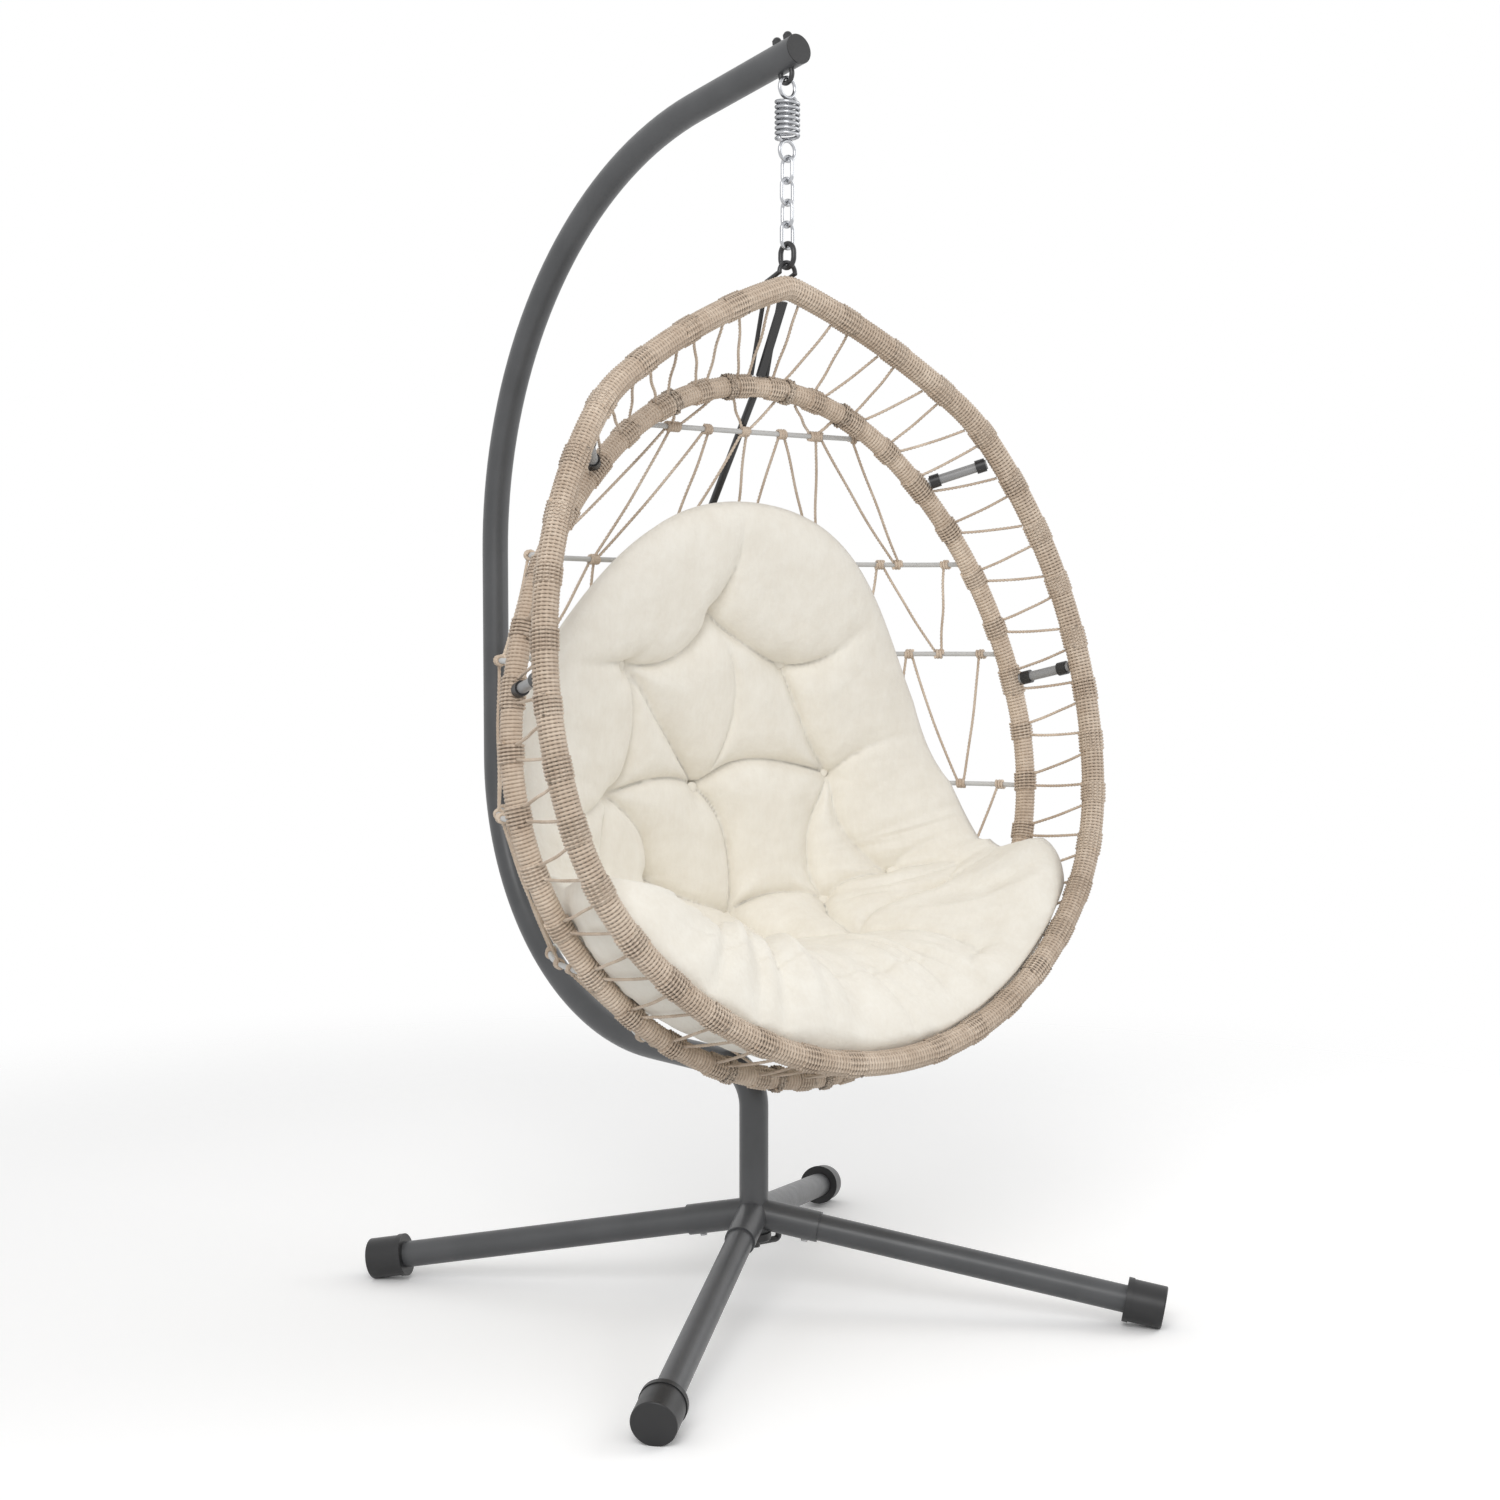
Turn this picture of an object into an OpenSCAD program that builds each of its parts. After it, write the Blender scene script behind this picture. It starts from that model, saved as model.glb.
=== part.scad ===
// Hanging egg chair: a rope basket with a seat cushion, hung by a chain and a spring
// from a curved steel arm on four legs. Millimetres, +Z up, the basket faces -Y.
// The origin is on the floor, under the middle of the whole chair.

/* [Feet and legs] */
// Height of the leg axes where they meet at the hub
hub_h = 144; // [130:1:170]
// Distance from the hub centre to the end of a foot cap, along the leg
leg_reach = 650; // [560:5:720]
// Turn of the cross of legs away from the diagonals, in degrees
base_turn = 7; // [0:0.5:10]
// Outer diameter of a leg tube
leg_od = 42; // [36:0.5:42]
// Wall of a leg tube
leg_wall = 2; // [1.5:0.1:3]
// Outer diameter of a foot cap
cap_od = 65; // [58:0.5:70]
// Length of a foot cap
cap_len = 60; // [45:1:80]
// Thickness of a foot cap's closed end
cap_end = 6; // [4:0.5:10]
// Depth of the flat under a foot cap
cap_flat = 1.5; // [1:0.1:2.5]
// Outer diameter of a hub sleeve
sleeve_od = 48; // [47:0.5:54]
// Reach of a hub sleeve along the leg
sleeve_reach = 107; // [95:1:130]
// Length of leg that stands inside its sleeve
leg_grip = 70; // [55:1:72]

/* [Hub post and clamp] */
// Outer diameter of the hub post and of the arm
arm_od = 46; // [42:0.5:50]
// Wall of the hub post and of the arm
arm_wall = 2; // [1.5:0.1:2.5]
// Height of the hub post's open top
post_top = 300; // [250:1:320]
// Height of the hub post's lower end
post_bottom = 113; // [108:1:116]
// Length of the arm's spigot inside the hub post
spigot_len = 120; // [80:1:130]
// Diameter of the clamp screw
clamp_d = 10; // [8:0.5:12]
// Reach of the clamp lever from the screw
lever_reach = 52; // [45:1:60]
// Thickness of the clamp lever
lever_d = 10; // [8:0.5:11]

/* [Arm] */
// Distance from the hub axis to the upright stretch of the arm
arm_back = 722; // [680:1:780]
// Height of the arm's lower run
run_h = 372; // [365:1:380]
// Bend radius of the elbow above the hub post
elbow_r = 60; // [55:1:62]
// Bend radius of the lower sweep
lower_r = 460; // [420:5:500]
// Height of the joint between the two arm tubes
split_h = 896; // [860:1:960]
// Height where the upper sweep starts
upper_h = 1200; // [1150:5:1240]
// Bend radius of the upper sweep
upper_r = 700; // [660:5:720]
// Angle of the upper sweep, in degrees
upper_turn = 80.1; // [78:0.1:82]
// Length of the straight arm tip
tip_len = 249; // [230:1:260]

/* [Hanger, spring and chain] */
// Distance of the U-bolt's middle from the end of the arm
bolt_inset = 32; // [26:1:40]
// Wire of the U-bolt
bolt_wire = 8; // [6:0.5:8.5]
// Spacing of the U-bolt's prongs
bolt_gap = 25; // [22:0.5:28]
// Drop of the U-bolt's bend below the arm's axis
bolt_drop = 40; // [39:0.5:46]
// Wire of the spring
spring_wire = 6; // [5:0.25:6.5]
// Outer diameter of the spring's coil
spring_od = 39; // [36:0.5:42]
// Outer diameter of the spring's end loops
loop_od = 36; // [34:0.5:38]
// Distance between the centres of the spring's end loops
loop_spread = 94; // [88:1:104]
// Turns of the spring's coil
spring_turns = 7.5; // [5.5:1:7.5]
// Wire of a chain link
link_wire = 6; // [5:0.25:6.5]
// Outer width of a chain link
link_w = 28; // [25:0.5:30]
// Inner length of a chain link
link_in = 33; // [30:0.5:38]
// Wire of the oval link
oval_wire = 8; // [7:0.25:8.5]
// Outer width of the oval link
oval_w = 38; // [35:0.5:42]
// Inner length of the oval link
oval_in = 28; // [26:0.5:32]

/* [Basket rings] */
// Lean of the front rim's plane from upright, in degrees
rim_lean = 11.93; // [11:0.05:13]
// Drop from the top of the eye's bend to the rim's highest point
eye_drop = 38.5; // [38:0.5:42]
// Outer diameter of the rim's steel tube
rim_d = 28; // [25:0.5:30]
// Outer diameter of the rope winding on the rim
rim_wrap_d = 38; // [36:0.5:40]
// Lean of the rear hoop's plane from upright, in degrees
hoop_lean = 8.42; // [8:0.02:9]
// Setback of the hoop's top from the rim's highest point
hoop_back = 70.5; // [66:0.5:78]
// Drop of the hoop's top from the rim's highest point
hoop_drop = 143; // [138:1:150]
// Outer diameter of the hoop's steel tube
hoop_d = 24; // [21:0.5:26]
// Outer diameter of the rope winding on the hoop
hoop_wrap_d = 33; // [31:0.5:34]
// Wall of the rim's tube
rim_wall = 2.5; // [1.5:0.1:3]
// Wall of the hoop's tube
hoop_wall = 1.5; // [1.2:0.1:2.5]

/* [Basket bars and rope] */
// Diameter of the back spine
spine_d = 12; // [10:0.5:14]
// Diameter of a rib
rib_d = 8; // [6:0.5:9]
// Diameter of a spacer tube
spacer_d = 16; // [14:0.5:18]
// Diameter of the eye's rod
eye_d = 7; // [6:0.5:7.5]
// Width of the flat top brace
brace_w = 15; // [12:0.5:16]
// Thickness of the flat top brace
brace_t = 5; // [4:0.5:6]
// Diameter of the rope
rope_d = 5; // [4:0.25:5.5]

/* [Cushion] */
// Thickness of the cushion at its crown
cushion_t = 120; // [90:1:126]
// Share of that thickness behind the seam round the cushion's edge
cushion_behind = 0.28; // [0.2:0.01:0.34]
// Thickness of the cushion's cover with its quilting
cover_wall = 8; // [6:1:14]
// Distance from the spine's axis to the surface that the seam lies in
cushion_lift = 63; // [58:1:80]
// Depth of a sewn tuft
tuft_depth = 24; // [12:1:30]

/* [Hidden] */
$fn = 48;

// Clearances
slip = 0.1;         // around a piece that stands inside another
land = 0.4;         // between a bar and the winding that it lands on
wire_gap = 0.3;     // between two wires that hang on each other
turn_fit = 0.05;    // around the clamp screw
under_gap = 0.3;    // between the clamp lever and the plug above it

// ---- plane curves: [radius, angle] is a bend, left when positive; [length, 0] is a straight
function side_of(a) = a < 0 ? -1 : 1;
function bend_centre(p, h, r, a) = p + side_of(a) * r * [-sin(h), cos(h)];
function seg_end(p, h, r, a) =
    a == 0 ? p + r * [cos(h), sin(h)]
           : bend_centre(p, h, r, a) + side_of(a) * r * [sin(h + a), -cos(h + a)];
function curve(parts, p, h, i = 0) =
    i == len(parts) ? []
        : concat([[p, h, parts[i][0], parts[i][1]]],
                 curve(parts, seg_end(p, h, parts[i][0], parts[i][1]), h + parts[i][1], i + 1));
function seg_len(g) = g[3] == 0 ? g[2] : g[2] * abs(g[3]) * PI / 180;
function curve_len(c, i = 0) = i == len(c) ? 0 : seg_len(c[i]) + curve_len(c, i + 1);
function turned(g, s) = g[3] == 0 ? 0 : side_of(g[3]) * s / g[2] * 180 / PI;
function seg_point(g, s) = seg_end(g[0], g[1], g[3] == 0 ? s : g[2], turned(g, s));
function curve_point(c, s, i = 0) =
    i == len(c) - 1 || s <= seg_len(c[i]) ? seg_point(c[i], s)
        : curve_point(c, s - seg_len(c[i]), i + 1);
function curve_heading(c, s, i = 0) =
    i == len(c) - 1 || s <= seg_len(c[i]) ? c[i][1] + turned(c[i], s)
        : curve_heading(c, s - seg_len(c[i]), i + 1);
function curve_end(c) = let (g = c[len(c) - 1]) seg_end(g[0], g[1], g[2], g[3]);

// One stretch of a curve with the children as its section, drawn from the origin along +X
module stretch(g) {
    r = g[2];
    a = g[3];
    if (a == 0) rotate([90, 0, 90]) linear_extrude(r) children();
    else translate([0, side_of(a) * r, 0])
        rotate([0, 0, a > 0 ? -90 : 90 + a]) rotate_extrude(angle = abs(a), $fn = 240)
            translate([r, 0]) children();
}

// The origin moved along a stretch to its end, with +X turned along it
module after(g) {
    r = g[2];
    a = g[3];
    if (a == 0) translate([r, 0, 0]) children();
    else translate([0, side_of(a) * r, 0]) rotate([0, 0, a]) translate([0, -side_of(a) * r, 0]) children();
}

// The end of a stretch and the start of the next, a hair apart inside a weld bead
bead_l = 2;
bead_h = 0.3;
butt = 0.05;
module bead() {
    translate([(butt - bead_l) / 2, 0, 0]) rotate([90, 0, 90]) linear_extrude(bead_l) children();
}

// Stretches from number i up to number last, with the first child as section and
// the second as the section of the beads between them
module follow(c, i, last) {
    if (i <= last) {
        stretch(c[i]) children(0);
        if (i < last) after(c[i]) {
            bead() children(1);
            translate([butt, 0, 0]) follow(c, i + 1, last) {
                children(0);
                children(1);
            }
        }
    }
}

// The same stretches face to face
module follow_plain(c, i = 0) {
    if (i < len(c)) {
        stretch(c[i]) children();
        after(c[i]) follow_plain(c, i + 1) children();
    }
}

module from_start(c) {
    translate([c[0][0].x, c[0][0].y, 0]) rotate([0, 0, c[0][1]]) children();
}

// A round bar along a plane curve, drawn in the XY plane
module bar(c, r) {
    from_start(c) follow_plain(c) circle(r = r, $fn = 48);
}

// A long bar, welded end to end from its stretches
module welded_bar(c, r) {
    from_start(c) follow(c, 0, len(c) - 1) {
        circle(r = r, $fn = 48);
        circle(r = r + bead_h, $fn = 48);
    }
}

// A tube of outer radius r and inner radius ri
module pipe(c, r, ri) {
    from_start(c) follow_plain(c) annulus(r, ri);
}

module annulus(r, ri) {
    difference() {
        circle(r = r, $fn = 48);
        circle(r = ri, $fn = 48);
    }
}

// The XY plane turned up to the YZ plane, with X along Y
module fore_aft() {
    rotate([90, 0, 90]) children();
}

// The XY plane turned up to the XZ plane
module crosswise() {
    rotate([90, 0, 0]) children();
}

// ---- legs
cap_r = cap_od / 2;
leg_slope = asin((hub_h + cap_flat) / norm([leg_reach, cap_r])) - atan(cap_r / leg_reach);
function leg_angle(k) = 45 - base_turn + 90 * k;   // 0 back right, 1 back left, 2 and 3 in front
leg_start = sleeve_reach - leg_grip;
contact_r = leg_reach * cos(leg_slope) - cap_r * sin(leg_slope);
collar_w = 9;
collar_h = 1.5;
screw_d = 6;
screw_head_d = 11;
screw_head_h = 3;
leg_screw_at = sleeve_reach - 20;

// ---- arm, in the YZ plane
arm_r = arm_od / 2;
spigot_r = arm_r - arm_wall - slip;
spigot_wall = 2;
lower_path = curve([[run_h - elbow_r - post_top, 0], [elbow_r, -90],
    [arm_back - lower_r - elbow_r, 0], [lower_r, 90],
    [split_h - run_h - lower_r, 0]], [0, post_top], 90);
upper_path = curve([[upper_h - split_h, 0], [upper_r, upper_turn], [tip_len, 0]],
    [arm_back, split_h], 90);
tip_end = curve_end(upper_path);
tip_rise = 90 - upper_turn;
bolt_at = tip_end + bolt_inset * [cos(tip_rise), -sin(tip_rise)];
hang_y = bolt_at.x - bolt_drop * sin(tip_rise);
bolt_z = bolt_at.y - bolt_drop * cos(tip_rise);
joint_half = 60;
joint_screw_at = 30;
front_y = max([for (k = [2, 3])
    -leg_reach * cos(leg_slope) * sin(leg_angle(k)) + cap_r * norm([cos(leg_angle(k)), sin(leg_slope)])]);
hub_y = (front_y - arm_back - arm_r) / 2;

// ---- suspension, heights of the wires' centres from the U-bolt down
loop_r = (loop_od - spring_wire) / 2;
top_loop_z = bolt_z + (bolt_wire + spring_wire) / 2 + wire_gap - loop_r;
low_loop_z = top_loop_z - loop_spread;
fore_z = low_loop_z - loop_r;
link_r = (link_w - link_wire) / 2;
link_span = link_in + link_wire;
link_top = fore_z + (spring_wire + link_wire) / 2 + wire_gap;
link_step = link_span - link_wire - wire_gap;
function link_z(k) = link_top - (k - 1) * link_step;      // the top wire of link k
oval_r = (oval_w - oval_wire) / 2;
oval_span = oval_in + oval_wire;
oval_top = link_z(4) - link_span + (link_wire + oval_wire) / 2 + wire_gap;
oval_bottom = oval_top - oval_span;
eye_top = oval_bottom + (oval_wire + eye_d) / 2 + wire_gap;

// ---- rings of the basket: plane curves from the bottom, heading along +X
// The last bend brings a half ring level and to the middle at the top
function shut(bends) =
    let (open = curve(bends, [0, 0], 0), h = open[len(open) - 1][1] + bends[len(bends) - 1][1])
    curve(concat(bends, [[curve_end(open).x / sin(h), 180 - h]]), [0, 0], 0);
rim_top = [0, hang_y, eye_top - eye_drop];
rim_bends = [[568, 48.3], [414, 29.6], [707, 49.2], [266, 18.1], [1227, 16.7]];
rim_path = shut(rim_bends);
rim_height = curve_end(rim_path).y;
rim_run = curve_len(rim_path);
rim_up = [0, sin(rim_lean), cos(rim_lean)];
rim_low = rim_top - rim_height * rim_up;

hoop_top = rim_top + [0, hoop_back, -hoop_drop];
hoop_bends = [[528, 54.4], [456, 43.3], [649, 43.9]];
hoop_path = shut(hoop_bends);
hoop_height = curve_end(hoop_path).y;
hoop_run = curve_len(hoop_path);
hoop_up = [0, sin(hoop_lean), cos(hoop_lean)];
hoop_low = hoop_top - hoop_height * hoop_up;
rim_wrap_r = rim_wrap_d / 2;
hoop_wrap_r = hoop_wrap_d / 2;
seam = 0.15;
wind_gap = 0.8;         // between a ring's tube and the winding on it, clear of the weld beads
vent_d = 5;
vent_at = 30;

function on_ring(low, up, p) = low + [p.x, 0, 0] + p.y * up;
function rim_point(s) = on_ring(rim_low, rim_up, curve_point(rim_path, s));
function hoop_point(s) = on_ring(hoop_low, hoop_up, curve_point(hoop_path, s));
function along(up, h) = [cos(h), 0, 0] + sin(h) * up;
function rim_dir(s) = along(rim_up, curve_heading(rim_path, s));
function hoop_dir(s) = along(hoop_up, curve_heading(hoop_path, s));
function mirrored(p) = [-p.x, p.y, p.z];

// Arc length on the hoop's half where it rises to the height z
function height_on(c, v, i = 0) =
    let (g = c[i], q = seg_end(g[0], g[1], g[2], g[3]))
    i == len(c) - 1 || v <= q.y
        ? (acos(cos(g[1]) - (v - g[0].y) / g[2]) - g[1]) * PI / 180 * g[2]
        : seg_len(g) + height_on(c, v, i + 1);
function hoop_at(z) = height_on(hoop_path, (z - hoop_low.z) / cos(hoop_lean));

// ---- lacing between the hoop and the rim: lace k from the top, by distance from the top
lace_count = 19;
lace_rim_half = 15;       // half the spacing of two laces at the rim
lace_hoop_half = 7.5;     // half the spacing of the two strands of one lace at the hoop
spacer_laces = [5, 9];    // the spacers stand inside these laces
spacer_half = 15;
upper_spacer_hoop = 366;
upper_spacer_rim = 491;
lower_spacer_hoop = 739;
lower_spacer_rim = 855;
function lace_hoop(k) = hoop_run - lookup(k, [[1, 32], [5, upper_spacer_hoop],
    [9, lower_spacer_hoop], [lace_count + 0.5, hoop_run]]);
function lace_rim(k) = rim_run - lookup(k, [[0.5, 15], [5, upper_spacer_rim],
    [9, lower_spacer_rim], [lace_count + 0.5, rim_run]]);

// ---- spine, in the YZ plane from the hoop's top round the back to the hoop's bottom
spine_r = spine_d / 2;
spine_heading = -58;
spine_off = hoop_wrap_r + land;
spine_start = [hoop_top.y, hoop_top.z] + spine_off * [cos(spine_heading), sin(spine_heading)];
spine_drop = 198;
spine_bends = [[spine_drop, 0], [1100, -32], [245.7, -79]];
spine_turned = curve_end(curve(spine_bends, spine_start, spine_heading));
spine_last_heading = spine_heading + spine_bends[1][1] + spine_bends[2][1];
spine_rest = (spine_turned.x - hoop_low.y) / cos(spine_last_heading + 180) - spine_off;
spine_path = curve(concat(spine_bends, [[spine_rest, 0]]), spine_start, spine_heading);

// How far back at the height z a curve lies that runs inside the spine's axis at a distance off
function spine_y(z, off = 0) =
    let (a = spine_path[1], b = spine_path[2], inner = off * [sin(spine_heading), -cos(spine_heading)],
         ca = bend_centre(a[0], a[1], a[2], a[3]), cb = bend_centre(b[0], b[1], b[2], b[3]),
         turn = a[1] + a[3])
    z > (a[0] + inner).y ? (a[0] + inner).x - (z - (a[0] + inner).y) / tan(-spine_heading)
        : z > b[0].y - off * cos(turn) ? ca.x + sqrt(pow(a[2] - off, 2) - pow(z - ca.y, 2))
                                       : cb.x + sqrt(pow(b[2] - off, 2) - pow(z - cb.y, 2));

// ---- ribs: flat arches from one side of the hoop round the spine to the other
rib_r = rib_d / 2;
rib_drops = [210, 410, 560, 780, 1000, 1118];   // from the rim's top
rib_heights = [for (d = rib_drops) rim_top.z - d];
rib_off = hoop_wrap_r + 5 * land;
rib_lead = rib_off + 4;
rib_corner = 90;
function rib_side(z) = hoop_point(hoop_at(z));
function rib_depth(z) = spine_y(z, spine_r + rib_r + slip) - rib_side(z).y;
function rib_straight(z) = max(rib_lead, rib_depth(z) - 0.95 * rib_side(z).x);
function rib_path(z) =
    let (w = rib_side(z).x, d = rib_depth(z) - rib_straight(z), r1 = min(rib_corner, 0.7 * d),
         r = (pow(w - r1, 2) + d * d - r1 * r1) / (2 * (d - r1)), a = acos((w - r1) / (r - r1)))
    curve([[rib_straight(z) - rib_off, 0], [r1, a], [r, 180 - 2 * a], [r1, a],
        [rib_straight(z) - rib_off, 0]], [w, rib_side(z).y + rib_off], 90);
function rib_point(z, s) = let (p = curve_point(rib_path(z), s)) [p.x, p.y, z];
function rib_dir(z, s) = let (h = curve_heading(rib_path(z), s)) [cos(h), sin(h), 0];

// ---- rope strands
rope_r = rope_d / 2;
rope_land = 0.3;
knot_half = 4;

// How far from a bar's axis a round end of radius e stops, for directions d and t
function cut_back(r, e, gap, d, t) = let (sa = abs(d * t)) (r + gap + e * sa) / sqrt(1 - sa * sa);

// A straight strand from a bar at a to a bar at b, each with its own direction and radius
module strand(a, ta, ra, b, tb, rb) {
    d = (b - a) / norm(b - a);
    la = cut_back(ra, rope_r, rope_land, d, ta);
    lb = cut_back(rb, rope_r, rope_land, d, tb);
    translate(a + la * d) rotate([0, acos(d.z), atan2(d.y, d.x)])
        cylinder(r = rope_r, h = norm(b - a) - la - lb, $fn = 24);
}

// ==== stand ====
module at_hub() {
    translate([0, hub_y, 0]) children();
}

// The X axis laid along leg k, from the hub's centre
module along_leg(k) {
    translate([0, 0, hub_h]) rotate([0, 0, leg_angle(k)]) rotate([0, leg_slope, 0]) children();
}

module base_hub() {
    color([0.29, 0.29, 0.3]) at_hub() difference() {
        union() {
            translate([0, 0, post_bottom]) cylinder(d = arm_od, h = post_top - post_bottom);
            for (k = [0:3]) along_leg(k) rotate([0, 90, 0])
                cylinder(d = sleeve_od, h = sleeve_reach);
        }
        translate([0, 0, post_bottom - cap_od])
            cylinder(r = arm_r - arm_wall, h = post_top - post_bottom + 2 * cap_od);
        for (k = [0:3]) along_leg(k) {
            translate([leg_start - 1, 0, 0]) rotate([0, 90, 0])
                cylinder(r = leg_od / 2 + slip, h = sleeve_reach);
            translate([leg_screw_at, 0, -sleeve_od]) cylinder(r = screw_d / 2 + slip, h = sleeve_od);
        }
    }
}

plug_r = arm_r + 4.5;
plug_h = 13;
plug_stem = 12;
module hub_plug() {
    color([0.12, 0.12, 0.12]) at_hub() difference() {
        union() {
            translate([0, 0, post_bottom - plug_h]) cylinder(r1 = plug_r - 2, r2 = plug_r, h = 2);
            translate([0, 0, post_bottom - plug_h + 2]) cylinder(r = plug_r, h = plug_h - 2);
            translate([0, 0, post_bottom]) cylinder(r = arm_r - arm_wall - slip, h = plug_stem);
        }
        translate([0, 0, post_bottom - 2 * plug_h])
            cylinder(r = clamp_d / 2 + turn_fit, h = 3 * plug_h + plug_stem);
    }
}

module leg(k) {
    color([0.29, 0.29, 0.3]) at_hub() along_leg(k) difference() {
        translate([leg_start, 0, 0]) rotate([0, 90, 0])
            cylinder(d = leg_od, h = leg_reach - cap_end - leg_start);
        rotate([0, 90, 0]) cylinder(r = leg_od / 2 - leg_wall, h = leg_reach);
        translate([leg_screw_at, 0, -leg_od]) cylinder(r = screw_d / 2 + slip, h = leg_od);
    }
}

module foot_cap(k) {
    edge = 5;
    color([0.12, 0.12, 0.12]) at_hub() difference() {
        along_leg(k) rotate([0, 90, 0]) difference() {
            union() {
                translate([0, 0, leg_reach - cap_len]) cylinder(r = cap_r, h = cap_len - edge);
                translate([0, 0, leg_reach - cap_len]) cylinder(r = cap_r + collar_h, h = collar_w);
                rotate_extrude() {
                    translate([0, leg_reach - edge]) square([cap_r - edge / 2, edge]);
                    translate([0, leg_reach - edge]) square([cap_r, edge / 2]);
                    translate([cap_r - edge / 2, leg_reach - edge / 2]) circle(r = edge / 2);
                }
            }
            cylinder(r = leg_od / 2 + slip, h = leg_reach - cap_end);
        }
        translate([-leg_reach * 2, -leg_reach * 2, -cap_od]) cube([leg_reach * 4, leg_reach * 4, cap_od]);
    }
}

module leg_screws() {
    color([0.5, 0.5, 0.5]) at_hub() for (k = [0:3]) along_leg(k) translate([leg_screw_at, 0, 0]) {
        translate([0, 0, -sleeve_od / 2 - screw_head_h]) cylinder(d = screw_head_d, h = screw_head_h);
        translate([0, 0, -sleeve_od / 2]) cylinder(d = screw_d, h = (sleeve_od - leg_od) / 2 + 6);
    }
}

boss_h = lever_d + 1;
boss_r = clamp_d / 2 + 5;
hook_r = 7;
lever_z = post_bottom - plug_h - under_gap - boss_h / 2;
hook_top = post_bottom - 6;
spigot_foot = 8;
clamp_top = post_top - spigot_len + spigot_foot + 12;
module clamp_lever() {
    color([0.12, 0.12, 0.12]) at_hub() {
        translate([0, 0, lever_z]) cylinder(d = clamp_d, h = clamp_top - lever_z);
        translate([0, 0, lever_z - boss_h / 2]) cylinder(r = boss_r, h = boss_h);
        rotate([0, 0, -7]) translate([0, 0, lever_z]) crosswise()
            bar(curve([[lever_reach - lever_d / 2 - hook_r - boss_r / 2, 0], [hook_r, 90],
                [hook_top - lever_z - hook_r, 0]], [boss_r / 2, 0], 0), lever_d / 2);
    }
}

module arm_lower() {
    foot = 4;
    color([0.29, 0.29, 0.3]) at_hub() difference() {
        union() {
            fore_aft() pipe(lower_path, arm_r, arm_r - arm_wall);
            translate([0, 0, post_top]) cylinder(r = arm_r - arm_wall / 2, h = foot);
            translate([0, 0, post_top - spigot_len]) cylinder(r = spigot_r, h = spigot_len + 1);
        }
        translate([0, 0, post_top - spigot_len + spigot_foot])
            cylinder(r = spigot_r - spigot_wall, h = spigot_len - spigot_foot + 2 * foot);
        translate([0, 0, post_top - spigot_len - 1])
            cylinder(r = clamp_d / 2 + turn_fit, h = spigot_foot + 2);
        joint_bores();
    }
}

module joint_bores() {
    for (s = [-1, 1]) translate([0, arm_back, split_h + s * joint_screw_at]) rotate([-90, 0, 0])
        cylinder(r = screw_d / 2 + slip, h = arm_od);
}

module arm_upper() {
    color([0.29, 0.29, 0.3]) at_hub() difference() {
        fore_aft() pipe(upper_path, arm_r, arm_r - arm_wall);
        joint_bores();
        on_bolt() for (s = [-1, 1]) translate([s * bolt_gap / 2, 0, -arm_od])
            cylinder(r = bolt_wire / 2 + 3 * slip, h = 2 * arm_od);
    }
}

module arm_joint_spigot() {
    color([0.6, 0.6, 0.6]) at_hub() difference() {
        translate([0, arm_back, split_h - joint_half]) cylinder(r = spigot_r, h = 2 * joint_half);
        translate([0, arm_back, split_h - joint_half - 1])
            cylinder(r = spigot_r - spigot_wall, h = 2 * joint_half + 2);
        joint_bores();
    }
}

module arm_joint_screws() {
    color([0.5, 0.5, 0.5]) at_hub() for (s = [-1, 1])
        translate([0, arm_back, split_h + s * joint_screw_at]) rotate([-90, 0, 0]) {
            translate([0, 0, arm_r + slip]) cylinder(d = screw_head_d, h = screw_head_h);
            translate([0, 0, arm_r - 8]) cylinder(d = screw_d, h = 8 + slip);
        }
}

end_cap_lip = 2;
module arm_end_cap() {
    color([0.12, 0.12, 0.12]) at_hub() translate([0, tip_end.x, tip_end.y])
        rotate([90 + -tip_rise, 0, 0]) {
            cylinder(r = arm_r, h = end_cap_lip);
            translate([0, 0, -8]) cylinder(r = arm_r - arm_wall - slip, h = 8 + end_cap_lip / 2);
        }
}

// X towards the arm's tip and Z square to the arm, where the U-bolt crosses its axis
module on_bolt() {
    translate([0, bolt_at.x, bolt_at.y]) rotate([-tip_rise, 0, 0]) rotate([0, 0, -90]) children();
}

nut_flats = 13;
nut_h = 7;
nut_dome = 5;
bolt_up = arm_r + nut_h + 1;
module hanger_u_bolt() {
    bend = bolt_gap / 2;
    color([0.1, 0.1, 0.1]) at_hub() on_bolt() crosswise()
        bar(curve([[bolt_up + bolt_drop - bend, 0], [bend, 180], [bolt_up + bolt_drop - bend, 0]],
            [-bend, bolt_up], -90), bolt_wire / 2);
}

module hanger_cap_nuts() {
    color([0.1, 0.1, 0.1]) at_hub() on_bolt() for (s = [-1, 1])
        translate([s * bolt_gap / 2, 0, arm_r + slip]) difference() {
            union() {
                cylinder(d = nut_flats / cos(30), h = nut_h, $fn = 6);
                intersection() {
                    translate([0, 0, nut_h - 2]) sphere(r = nut_dome + 2);
                    translate([-nut_flats, -nut_flats, nut_h - 1])
                        cube([2 * nut_flats, 2 * nut_flats, nut_flats]);
                }
            }
            translate([0, 0, -1]) cylinder(r = bolt_wire / 2 + slip, h = nut_h + 2);
        }
}

// ==== suspension ====
module ring_loop(z) {
    at_hub() translate([0, hang_y, z]) crosswise() rotate_extrude() translate([loop_r, 0])
        circle(d = spring_wire);
}

module spring_upper_loop() {
    color([0.72, 0.73, 0.74]) ring_loop(top_loop_z);
}

module spring_lower_loop() {
    color([0.72, 0.73, 0.74]) ring_loop(low_loop_z);
}

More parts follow.
